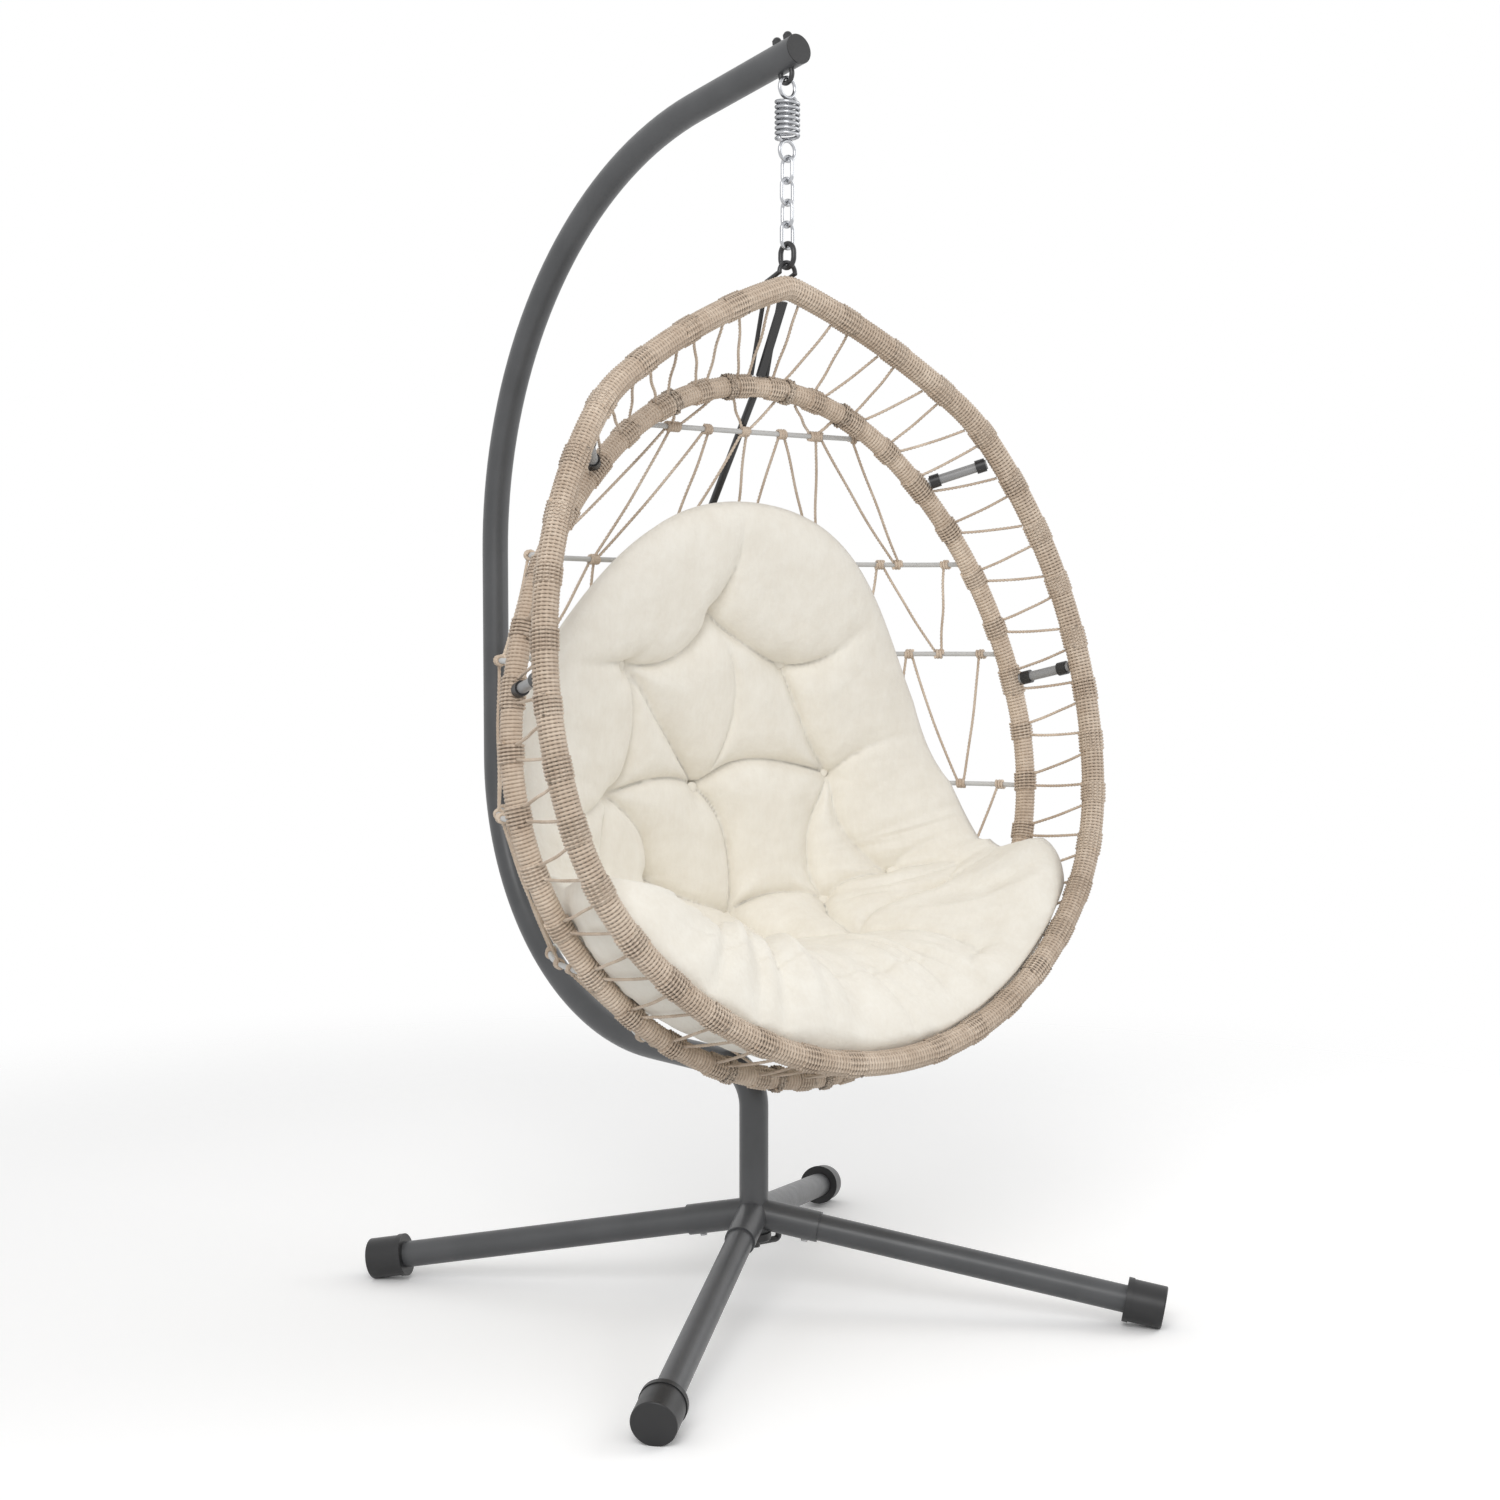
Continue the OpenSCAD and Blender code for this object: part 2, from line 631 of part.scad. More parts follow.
// The coil is one unbroken tube, with an end run towards each loop
coil_r = (spring_od - spring_wire) / 2;
coil_rings = 8;
coil_sides = 6;
end_gap = 0.4;
end_near = loop_r + spring_wire / 2 + end_gap;
end_far = end_near + spring_wire;
end_fall = sqrt(end_far * end_far - coil_r * coil_r);
coil_top = top_loop_z - end_fall;
coil_low = low_loop_z + end_fall;
coil_pitch = (coil_top - coil_low) / spring_turns;
coil_lead = 1.5;          // rings left out of the helix at each end for the bend
function coil_point(t) =
    [coil_r * cos(360 * t), coil_r * sin(360 * t), coil_top - t * coil_pitch];
function bent(a, b, c, t) = (1 - t) * (1 - t) * a + 2 * t * (1 - t) * b + t * t * c;
top_near = [end_near * coil_r / end_far, 0, top_loop_z - end_near * end_fall / end_far];
top_far = [coil_r, 0, coil_top];
low_side = cos(360 * spring_turns);
low_near = [low_side * end_near * coil_r / end_far, 0, low_loop_z + end_near * end_fall / end_far];
low_far = [low_side * coil_r, 0, coil_low];
coil_first = coil_point(coil_lead / coil_rings);
coil_last = coil_point(spring_turns - coil_lead / coil_rings);
coil_points = concat([top_near, top_far],
    [for (t = [1 / 3, 2 / 3]) bent(top_far, top_far + (top_far - top_near) / 3, coil_first, t)],
    [for (k = [coil_lead : 1 : spring_turns * coil_rings - coil_lead + 0.01])
        coil_point(k / coil_rings)],
    [for (t = [1 / 3, 2 / 3]) bent(coil_last, low_far + (low_far - low_near) / 3, low_far, t)],
    [low_far, low_near]);

function unit(v) = v / norm(v);
function bearing(p, i) = unit(p[min(i + 1, len(p) - 1)] - p[max(i - 1, 0)]);
function square_to(n, t) = unit(n - (n * t) * t);
function carried(p, n, i = 0) =
    i == len(p) ? [] : let (m = square_to(n, bearing(p, i))) concat([m], carried(p, m, i + 1));

// A closed tube of flat faces along a list of points
module tube(p, r, sides) {
    n = carried(p, [0, 1, 0.1]);
    count = len(p);
    skin = [for (i = [0 : count - 1]) let (t = bearing(p, i), b = cross(t, n[i]))
        for (j = [0 : sides - 1]) let (a = 360 * j / sides) p[i] + r * (cos(a) * n[i] + sin(a) * b)];
    walls = [for (i = [0 : count - 2]) for (j = [0 : sides - 1])
        let (a = i * sides + j, b = i * sides + (j + 1) % sides)
        each [[a, a + sides, b], [b, a + sides, b + sides]]];
    start = [for (j = [1 : sides - 2]) [0, j, j + 1]];
    finish = [for (j = [1 : sides - 2]) (count - 1) * sides * [1, 1, 1] + [0, j + 1, j]];
    polyhedron(points = skin, faces = concat(walls, start, finish));
}

coil_self_gap = min([for (i = [0 : len(coil_points) - 1]) for (j = [0 : len(coil_points) - 1])
    if (j - i > coil_rings / 2) norm(coil_points[i] - coil_points[j]) - spring_wire]);
echo(coil_self_gap = coil_self_gap);

module spring_coil() {
    color([0.72, 0.73, 0.74]) at_hub() translate([0, hang_y, 0])
        tube(coil_points, spring_wire / 2, coil_sides);
}

// One closed link, its top wire's centre at the origin, in the XY plane
module link_shape(r, span, wire) {
    straight = span - 2 * r;
    translate([0, -span / 2]) bar(curve([[straight, 0], [r, 180], [straight, 0], [r, 180]],
        [r, -straight / 2], 90), wire / 2);
}

module chain_link(k) {
    color([0.72, 0.73, 0.74]) at_hub() translate([0, hang_y, link_z(k)])
        if (k % 2 == 1) fore_aft() link_shape(link_r, link_span, link_wire);
        else crosswise() link_shape(link_r, link_span, link_wire);
}

module oval_link() {
    color([0.1, 0.1, 0.1]) at_hub() translate([0, hang_y, oval_top]) fore_aft()
        link_shape(oval_r, oval_span, oval_wire);
}

// ==== basket ====
// Two tube halves that butt in the middle, each welded from its bends
module ring(c, low, lean, r, ri) {
    for (m = [0, 1]) mirror([m, 0, 0]) translate([seam, 0, 0]) on_plane(low, lean)
        follow(c, 0, len(c) - 1) {
            annulus(r, ri);
            annulus(r + bead_h, ri - bead_h);
        }
}

module on_plane(low, lean) {
    translate(low) rotate([90 - lean, 0, 0]) children();
}

module vent(low, d) {
    translate(low + [vent_at, 0, -d]) cylinder(d = vent_d, h = d);
}

module rim_tube() {
    color([0.2, 0.2, 0.2]) at_hub() difference() {
        ring(rim_path, rim_low, rim_lean, rim_d / 2, rim_d / 2 - rim_wall);
        vent(rim_low, rim_d);
    }
}

module rim_wrap() {
    color([0.78, 0.71, 0.62]) at_hub()
        ring(rim_path, rim_low, rim_lean, rim_wrap_r, rim_d / 2 + wind_gap);
}

module hoop_tube() {
    color([0.2, 0.2, 0.2]) at_hub() difference() {
        ring(hoop_path, hoop_low, hoop_lean, hoop_d / 2, hoop_d / 2 - hoop_wall);
        vent(hoop_low, hoop_d);
    }
}

module hoop_wrap() {
    color([0.78, 0.71, 0.62]) at_hub()
        ring(hoop_path, hoop_low, hoop_lean, hoop_wrap_r, hoop_d / 2 + wind_gap);
}

// A round bar from a to b
module rod(a, b, r) {
    d = b - a;
    translate(a) rotate([0, acos(d.z / norm(d)), atan2(d.y, d.x)]) cylinder(r = r, h = norm(d));
}

eye_r = 15.5;
eye_knee = [hang_y + 30, eye_top - 27];
module basket_eye() {
    r = eye_d / 2;
    shoulder = [eye_r, hang_y, eye_top - eye_r];
    knee = [eye_r, eye_knee.x, eye_knee.y];
    foot = hoop_top + [eye_r, 0, 0];
    d = unit(foot - knee);
    color([0.12, 0.12, 0.12]) at_hub() {
        translate([0, hang_y, eye_top - eye_r]) crosswise()
            bar(curve([[eye_r, 180]], [eye_r, 0], 90), r);
        for (m = [0, 1]) mirror([m, 0, 0]) {
            translate(shoulder) sphere(r = r + bead_h);
            rod(shoulder, knee, r);
            translate(knee) sphere(r = r + bead_h);
            rod(knee, foot - cut_back(hoop_wrap_r, r, land, d, [1, 0, 0]) * d, r);
        }
    }
}

apex_slope = 180 - rim_path[len(rim_path) - 1][1];
module top_brace() {
    d = unit(hoop_top - rim_top);
    above = rim_wrap_r + land + brace_w / 2 * tan(apex_slope) * abs(d.z);
    below = hoop_wrap_r + 2 * land;
    color([0.12, 0.12, 0.12]) at_hub() translate(rim_top + above * d)
        rotate([atan2(d.z, d.y), 0, 0]) translate([-brace_w / 2, 0, -brace_t / 2])
            cube([brace_w, norm(hoop_top - rim_top) - above - below, brace_t]);
}

module spacer(side, hoop_s, rim_s) {
    a = hoop_point(hoop_run - hoop_s);
    b = rim_point(rim_run - rim_s);
    d = unit(b - a);
    r = spacer_d / 2;
    color([0.5, 0.5, 0.5]) at_hub() mirror([side < 0 ? 1 : 0, 0, 0])
        rod(a + cut_back(hoop_wrap_r, r, land, d, hoop_dir(hoop_run - hoop_s)) * d,
            b - cut_back(rim_wrap_r, r, land, d, rim_dir(rim_run - rim_s)) * d, r);
}

collar_d = spacer_d + 6;
collar_len = 16;
module spacer_collars() {
    color([0.2, 0.2, 0.2]) at_hub() for (m = [0, 1]) mirror([m, 0, 0])
        for (s = [[upper_spacer_hoop, upper_spacer_rim], [lower_spacer_hoop, lower_spacer_rim]]) {
            a = hoop_point(hoop_run - s[0]);
            b = rim_point(rim_run - s[1]);
            d = unit(b - a);
            collar(a + (hoop_wrap_r + 6) * d, d);
            collar(b - (rim_wrap_r + 5 + collar_len) * d, d);
        }
}

module collar(p, d) {
    translate(p) rotate([0, acos(d.z), atan2(d.y, d.x)]) difference() {
        cylinder(d = collar_d, h = collar_len);
        translate([0, 0, -1]) cylinder(r = spacer_d / 2 + slip, h = collar_len + 2);
    }
}

module back_spine() {
    color([0.12, 0.12, 0.12]) at_hub() fore_aft() welded_bar(spine_path, spine_r);
}

module rib(k) {
    z = rib_heights[k];
    color([0.5, 0.5, 0.5]) at_hub() translate([0, 0, z]) welded_bar(rib_path(z), rib_r);
}

module lace(side, hoop_s, rim_s) {
    mirror([side < 0 ? 1 : 0, 0, 0])
        strand(hoop_point(hoop_s), hoop_dir(hoop_s), hoop_wrap_r,
            rim_point(rim_s), rim_dir(rim_s), rim_wrap_r);
}

module rim_lacing() {
    color([0.78, 0.71, 0.62]) at_hub() for (side = [-1, 1]) for (k = [1 : lace_count]) {
        half = search(k, spacer_laces) == [] ? lace_hoop_half : spacer_half;
        lace(side, lace_hoop(k) + half, lace_rim(k - 0.5) - lace_rim_half);
        lace(side, lace_hoop(k) - half, lace_rim(k + 0.5) + lace_rim_half);
    }
}

// Points and directions of a net's edge, by the share f of its length from right to left
function rib_place(k, f) = let (z = rib_heights[k], s = f * curve_len(rib_path(z)))
    [rib_point(z, s), rib_dir(z, s), rib_r];
function top_place(f) = let (s0 = hoop_at(rib_heights[0]) + 40, s = s0 + (hoop_run - s0) * 2 * min(f, 1 - f))
    f <= 0.5 ? [hoop_point(s), hoop_dir(s), hoop_wrap_r]
             : [mirrored(hoop_point(s)), mirrored(hoop_dir(s)), hoop_wrap_r];
function low_place(f) = let (s0 = hoop_at(rib_heights[5]) - 30, s = s0 * (1 - 2 * min(f, 1 - f)))
    f <= 0.5 ? [hoop_point(s), hoop_dir(s), hoop_wrap_r]
             : [mirrored(hoop_point(s)), mirrored(hoop_dir(s)), hoop_wrap_r];
function edge_place(e, f) = e == -1 ? top_place(f) : e == 6 ? low_place(f) : rib_place(e, f);
function edge_run(e) = e == -1 ? 2 * (hoop_run - hoop_at(rib_heights[0]) - 40)
    : e == 6 ? 2 * (hoop_at(rib_heights[5]) - 30) : curve_len(rib_path(rib_heights[e]));

// A zigzag of rope between the edges above and below, with n strands down and up
module net(above, below, n) {
    color([0.78, 0.71, 0.62]) at_hub() for (i = [0 : 2 * n - 1]) {
        up = i % 2 == 0;
        ka = knot_half / edge_run(above) * (up ? 1 : -1);
        kb = knot_half / edge_run(below) * (up ? -1 : 1);
        fa = (i + (up ? 0 : 1) + 0.5) / (2 * n + 1);
        fb = (i + (up ? 1 : 0) + 0.5) / (2 * n + 1);
        p = edge_place(above, fa + ka);
        q = edge_place(below, fb + kb);
        strand(p[0], p[1], p[2], q[0], q[1], q[2]);
    }
}

// ==== cushion ====
// The seam's surface follows the spine at a distance, from the head end down and forward
cushion_bends = [[spine_drop, 0], [1100 - cushion_lift, -32], [245.7 - cushion_lift, -79],
    [700, -8], [400, 0]];
cushion_path = curve(cushion_bends,
    spine_start + cushion_lift * [sin(spine_heading), -cos(spine_heading)], spine_heading);
cushion_head = 150;       // where the head end starts along the path
corner = 0.3;
head_corner = 0.5;
function signed_pow(v, e) = sign(v) * pow(abs(v), e);

// Half width of the cushion's outline, from the front edge at -1 to the head end at 1
function cushion_half(v) =
    lookup(v, [[-1, 474], [-0.8, 464], [-0.5, 430], [-0.2, 412], [0.2, 412], [0.6, 392], [1, 346]]);
// Each slice across is the path drawn in towards a line across the bowl, along a rounded curve
bowl_axis = [hang_y - 22, rim_top.z - 750];
function cushion_scale(x, v) =
    let (half = lookup(v, [[-1, 484], [-0.8, 476], [-0.3, 448], [0.2, 452], [0.6, 460]]), p = lookup(v, [[-0.8, 2.2], [-0.3, 1.95]]))
    pow(1 - pow(abs(x) / half, p), 1 / p);
// Its front edge lies along the rim, this far behind the middle of the rim's tube
front_gap = 14;
rim_across = [cos(rim_lean), -sin(rim_lean)];
function cushion_end(x) =
    let (g = cushion_path[len(cushion_path) - 1],
         far = (rim_across * ([rim_low.y, rim_low.z] - bowl_axis) + front_gap) / cushion_scale(x, -1),
         near = rim_across * (g[0] - bowl_axis))
    curve_len(cushion_path) - g[2] + (far - near) / (rim_across * [cos(g[1]), sin(g[1])]);
cushion_run = cushion_end(0) - cushion_head;

// The seam's surface at u across and v along
function cushion_mid(u, v) =
    let (x = cushion_half(v) * u, s = cushion_head + (cushion_end(x) - cushion_head) * (1 - v) / 2,
         p = bowl_axis + (curve_point(cushion_path, s) - bowl_axis) * cushion_scale(x, v))
    [x, p.x, p.y];
function cushion_out(u, v) =
    let (e = 0.02, a = cushion_mid(u + e, v) - cushion_mid(u - e, v),
         b = cushion_mid(u, v - e) - cushion_mid(u, v + e))
    unit(cross(b, a));

tufts = [[-0.08, 0.71], [0.37, 0.58], [-0.55, 0.61], [0.62, 0.25], [-0.02, 0.22], [-0.55, 0.23],
    [0.8, -0.19], [0.58, -0.23], [0.15, -0.2], [-0.3, -0.03], [0.85, -0.5], [0.45, -0.57],
    [0.2, -0.44], [-0.62, -0.26], [-0.2, -0.45], [-0.66, -0.56]];
tuft_wide = 45;
function tuft_dip(u, v) = tuft_depth * max([for (t = tufts)
    exp(-(pow((u - t.x) * cushion_half(v), 2) + pow((v - t.y) * cushion_run / 2, 2))
        / (tuft_wide * tuft_wide))]);

function crown(q) = pow(1 - pow(q, 3.2), 0.5);
function cushion_deep(face) = cushion_t * (face > 0 ? 1 - cushion_behind : cushion_behind);
function cushion_spot(q, a, face, wall = 0) =
    let (e = a < 180 ? head_corner : corner,
         u = q * signed_pow(cos(a), e), v = q * signed_pow(sin(a), e),
         less = wall > 0 ? wall + (face > 0 ? tuft_depth : 0)
             : face > 0 ? tuft_dip(u, v) * (1 - q * q) : 0)
    cushion_mid(u, v) + face * (cushion_deep(face) * crown(q) - less) * cushion_out(u, v);

// A closed body between the seat side and the back side, sewn at its edge. The share is how
// much of the outline it takes up, and wall is how far it stays inside the faces
module cushion_body(n, front_rings, back_rings, share, wall) {
    angles = [for (j = [0 : n - 1]) 360 * (j + 0.5) / n];
    front = [for (i = [1 : front_rings - 1]) for (a = angles)
        cushion_spot(share * pow(i / front_rings, 0.9), a, 1, wall)];
    edge = [for (a = angles) cushion_spot(share, a, 0)];
    back = [for (i = [1 : back_rings - 1]) for (a = angles)
        cushion_spot(share * pow(1 - i / back_rings, 0.8), a, -1, wall)];
    rows = front_rings + back_rings - 1;
    points = concat([cushion_spot(0, 0, 1, wall)], front, edge, back, [cushion_spot(0, 0, -1, wall)]);
    last = len(points) - 1;
    faces = concat(
        [for (j = [0 : n - 1]) [0, 1 + (j + 1) % n, 1 + j]],
        [for (i = [0 : rows - 2]) for (j = [0 : n - 1])
            let (a = 1 + i * n + j, b = 1 + i * n + (j + 1) % n) each [[a, b, a + n], [b, b + n, a + n]]],
        [for (j = [0 : n - 1]) [last, last - n + j, last - n + (j + 1) % n]]);
    polyhedron(points = points, faces = faces);
}

// The cover and its quilting are solid; the loose filling's room is open at a slot in the back
filling_share = 0.94;
slot_d = 12;
module cushion() {
    slot = cushion_spot(0, 0, -1);
    color([0.94, 0.92, 0.88]) at_hub() difference() {
        cushion_body(40, 16, 7, 1, 0);
        cushion_body(20, 8, 5, filling_share, cover_wall);
        translate(slot - [0, cushion_t / 3, 0]) rotate([-90, 0, 0])
            cylinder(d = slot_d, h = cushion_t, $fn = 8);
    }
}

base_hub();
hub_plug();
leg(2);  // leg_front_left
leg(3);  // leg_front_right
leg(1);  // leg_back_left
leg(0);  // leg_back_right
foot_cap(2);  // foot_cap_front_left
foot_cap(3);  // foot_cap_front_right
foot_cap(1);  // foot_cap_back_left
foot_cap(0);  // foot_cap_back_right
leg_screws();
clamp_lever();
arm_lower();
arm_upper();
arm_joint_spigot();
arm_joint_screws();
arm_end_cap();
hanger_u_bolt();
hanger_cap_nuts();
spring_upper_loop();
spring_coil();
spring_lower_loop();
chain_link(1);  // chain_link_1
chain_link(2);  // chain_link_2
chain_link(3);  // chain_link_3
chain_link(4);  // chain_link_4
oval_link();
basket_eye();
top_brace();
rim_tube();
rim_wrap();
hoop_tube();
hoop_wrap();
spacer(-1, upper_spacer_hoop, upper_spacer_rim);  // spacer_upper_left
spacer(1, upper_spacer_hoop, upper_spacer_rim);  // spacer_upper_right
spacer(-1, lower_spacer_hoop, lower_spacer_rim);  // spacer_lower_left
spacer(1, lower_spacer_hoop, lower_spacer_rim);  // spacer_lower_right
spacer_collars();
back_spine();
rib(0);  // rib_top
rib(1);  // rib_upper
rib(2);  // rib_middle
rib(3);  // rib_lower
rib(4);  // rib_seat
rib(5);  // rib_floor
rim_lacing();
net(-1, 0, 3);  // net_top
net(0, 1, 6);  // net_neck
net(1, 2, 8);  // net_upper
net(2, 3, 9);  // net_middle
net(3, 4, 9);  // net_lower
net(4, 5, 7);  // net_seat
net(5, 6, 5);  // net_floor
cushion();
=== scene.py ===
"""Looks of a hanging egg chair: a rope basket with a quilted cushion, hung from a steel arm."""

import math

import bmesh
import bpy
import numpy as np
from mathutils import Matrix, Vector, noise
from mathutils.bvhtree import BVHTree
from mathutils.kdtree import KDTree


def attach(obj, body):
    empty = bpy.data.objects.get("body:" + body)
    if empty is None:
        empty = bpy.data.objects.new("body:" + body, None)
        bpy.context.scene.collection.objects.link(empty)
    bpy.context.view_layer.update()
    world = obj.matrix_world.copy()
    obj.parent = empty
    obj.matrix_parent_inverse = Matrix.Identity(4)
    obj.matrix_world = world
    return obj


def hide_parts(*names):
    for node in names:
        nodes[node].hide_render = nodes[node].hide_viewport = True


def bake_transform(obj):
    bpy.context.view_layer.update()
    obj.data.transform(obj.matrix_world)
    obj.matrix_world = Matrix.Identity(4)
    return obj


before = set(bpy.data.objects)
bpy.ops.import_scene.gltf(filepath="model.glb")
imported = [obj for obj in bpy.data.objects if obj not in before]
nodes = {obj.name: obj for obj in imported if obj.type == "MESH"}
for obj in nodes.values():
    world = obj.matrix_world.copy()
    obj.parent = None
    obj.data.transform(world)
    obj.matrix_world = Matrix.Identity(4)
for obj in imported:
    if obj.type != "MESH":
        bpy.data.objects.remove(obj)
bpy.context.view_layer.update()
scene = bpy.context.scene
scene.view_settings.view_transform = "Standard"

# ---- Camera
# Stands to the left of the front, about as high as the chair's middle, and looks slightly down.
lens_at = Vector((-2.237, -2.7579, 1.077))
lens_towards = Vector((0.6429, 0.7637, -0.0581))
camera = bpy.data.objects.new("camera", bpy.data.cameras.new("camera"))
camera.data.sensor_width = 36
camera.data.lens = 53.34
camera.location = lens_at
camera.rotation_euler = lens_towards.to_track_quat("-Z", "Y").to_euler()
scene.collection.objects.link(camera)
scene.camera = camera


# ---- Floor, backdrop and light
# A plain white floor that fades into a white room, under two large soft lamps.
class Wire:
    """An output of a node in a finish or a shape tree. Arithmetic on wires adds Math nodes."""

    def __init__(self, tree, socket=None):
        self.tree, self.socket = tree, socket

    def node(self, kind, sockets=(), out=0, **settings):
        """The output out, by place or name, of a new node with these inputs and settings."""
        made = self.tree.nodes.new(kind)
        for key, value in settings.items():
            setattr(made, key, value)
        for key, value in dict(sockets).items():
            if isinstance(value, Wire):
                self.tree.links.new(value.socket, made.inputs[key])
            else:
                made.inputs[key].default_value = value
        return Wire(self.tree, made.outputs[out] if len(made.outputs) else None)

    def other(self, out):
        """Another output of the same node."""
        return Wire(self.tree, self.socket.node.outputs[out])

    def maths(self, operation, *values):
        return self.node("ShaderNodeMath", enumerate(values), operation=operation)

    def __add__(self, other):
        return self.maths("ADD", self, other)

    def __sub__(self, other):
        return self.maths("SUBTRACT", self, other)

    def __mul__(self, other):
        return self.maths("MULTIPLY", self, other)

    def __truediv__(self, other):
        return self.maths("DIVIDE", self, other)

    __radd__ = __add__
    __rmul__ = __mul__

    def kept(self, low, high):
        """The share of the way from low to high, from 0 to 1."""
        sockets = {0: self, 1: low, 2: high}
        return self.node("ShaderNodeMapRange", sockets, interpolation_type="SMOOTHSTEP")

    def blend(self, a, b):
        """The colour a where this wire is 0 and b where it is 1."""
        # The node has like names for numbers, vectors and colours, so the places say which.
        return self.node("ShaderNodeMix", {0: self, 6: a, 7: b}, out=2, data_type="RGBA")


def blank(name):
    """A material with nothing in it yet, and a wire in its tree."""
    made = bpy.data.materials.new(name)
    made.use_nodes = True
    made.node_tree.nodes.clear()
    return made, Wire(made.node_tree)


def shown(start, shader):
    """Makes a shader the look of the material that start is in."""
    start.node("ShaderNodeOutputMaterial", {"Surface": shader})


def seen_clearly(start):
    """1 where a thing is seen itself, in a gloss or through glass, and 0 where it only lights."""
    seen = start.node("ShaderNodeLightPath", out="Is Camera Ray")
    gloss, glass = seen.other("Is Glossy Ray"), seen.other("Is Transmission Ray")
    return seen.maths("MAXIMUM", seen, seen.maths("MAXIMUM", gloss, glass))


# The floor is solid up to floor_fade from its middle and clear in its outermost rim.
floor_reach, floor_rim, floor_fade = 3.2, 0.3, 1.5
floor_sides = 64
floor_lit, floor_seen = (0.72, 0.72, 0.72, 1), (1.12, 1.12, 1.12, 1)
floor_mesh = bpy.data.meshes.new("floor")
floor_turns = [math.tau * i / floor_sides for i in range(floor_sides)]
floor_ring = [(floor_reach * math.cos(t), floor_reach * math.sin(t), 0) for t in floor_turns]
floor_mesh.from_pydata(floor_ring, [], [list(range(floor_sides))])
floor = bpy.data.objects.new("floor", floor_mesh)
scene.collection.objects.link(floor)
floor_paint, start = blank("floor_paint")
white = seen_clearly(start)
place = start.node("ShaderNodeTexCoord", out="Object")
away = start.node("ShaderNodeVectorMath", {0: place}, out="Value", operation="LENGTH")
gone = away.kept(floor_fade, floor_reach - floor_rim)
matt = start.node("ShaderNodeBsdfDiffuse", {"Color": white.blend(floor_lit, floor_seen)})
clear = start.node("ShaderNodeBsdfTransparent")
shown(start, start.node("ShaderNodeMixShader", {0: gone, 1: matt, 2: clear}))
floor_mesh.materials.append(floor_paint)

room_light = 0.68
world = bpy.data.worlds.new("room")
world.use_nodes = True
world.node_tree.nodes.clear()
start = Wire(world.node_tree)
strength = room_light + (1 - room_light) * seen_clearly(start)
room = start.node("ShaderNodeBackground", {"Color": (1, 1, 1, 1), "Strength": strength})
start.node("ShaderNodeOutputWorld", {"Surface": room})
scene.world = world
lamps_towards = Vector((0, -0.1, 0.9))
for name, at, size, watts in (
    ("key_lamp", (-2.7, -2.5, 2.9), 2.2, 62),
    ("side_lamp", (2.9, -1.5, 2.4), 2.4, 26),
):
    lamp = bpy.data.lights.new(name, "AREA")
    lamp.shape, lamp.size, lamp.energy = "DISK", size, watts
    holder = bpy.data.objects.new(name, lamp)
    holder.location = at
    beam = lamps_towards - Vector(at)
    holder.rotation_euler = beam.to_track_quat("-Z", "Y").to_euler()
    scene.collection.objects.link(holder)


# ---- Steel stand: hub, legs and arm
# Round steel tube, bent and welded, under a charcoal powder coat with a fine orange peel.
def grain(start, size, detail=2.0, stretch=(1, 1, 1), rough=0.5):
    """Noise whose features are about that size in metres."""
    place = start.node("ShaderNodeTexCoord", out="Object")
    where = start.node("ShaderNodeMapping", {0: place, "Scale": stretch})
    sockets = {0: where, "Scale": 1 / size, "Detail": detail, "Roughness": rough}
    return start.node("ShaderNodeTexNoise", sockets)


def bumped(start, height, depth, strength=1.0, under=None):
    """A Bump node's normal, depth in metres."""
    sockets = {"Height": height, "Distance": depth, "Strength": strength}
    if under:
        sockets["Normal"] = under
    return start.node("ShaderNodeBump", sockets)


tone_patch, gloss_patch, gloss_spread = 0.09, 0.02, 0.14


def painted(name, dark, light, rough, peel_size=0.0012, peel=0.00012, metal=0.0, coat=0.0):
    """A sprayed, moulded or plated finish: two tones, uneven gloss and a fine peel."""
    finish, start = blank(name)
    tone = grain(start, tone_patch, 4).kept(0.3, 0.7)
    speck = grain(start, peel_size, 2)
    body = start.node(
        "ShaderNodeBsdfPrincipled",
        {
            "Base Color": (tone * 0.7 + speck * 0.3).blend((*dark, 1), (*light, 1)),
            "Roughness": rough + (grain(start, gloss_patch, 3) - 0.5) * gloss_spread,
            "Metallic": metal,
            "Coat Weight": coat,
            "Coat Roughness": 0.25,
            "Normal": bumped(start, speck, peel),
        },
    )
    shown(start, body)
    return finish


def dress(finish, *names):
    """Puts a finish on CAD nodes, which keep their shape."""
    for name in names:
        mesh = nodes[name].data
        mesh.materials.clear()
        mesh.materials.append(finish)


stand_coat = painted("stand_coat", (0.055, 0.057, 0.06), (0.076, 0.078, 0.082), 0.42, coat=0.15)
legs = ["leg_front_left", "leg_front_right", "leg_back_left", "leg_back_right"]
dress(stand_coat, "base_hub", *legs, "arm_lower", "arm_upper")

# ---- Caps and plugs
# Black moulded polyethylene, a little shiny, pushed on or into the tube ends.
cap_plastic = painted(
    "cap_plastic",
    (0.012, 0.012, 0.013),
    (0.019, 0.019, 0.02),
    0.4,
    peel_size=0.0007,
    peel=0.00005,
)
foot_caps = [name for name in nodes if name.startswith("foot_cap")]
dress(cap_plastic, "hub_plug", "arm_end_cap", *foot_caps)

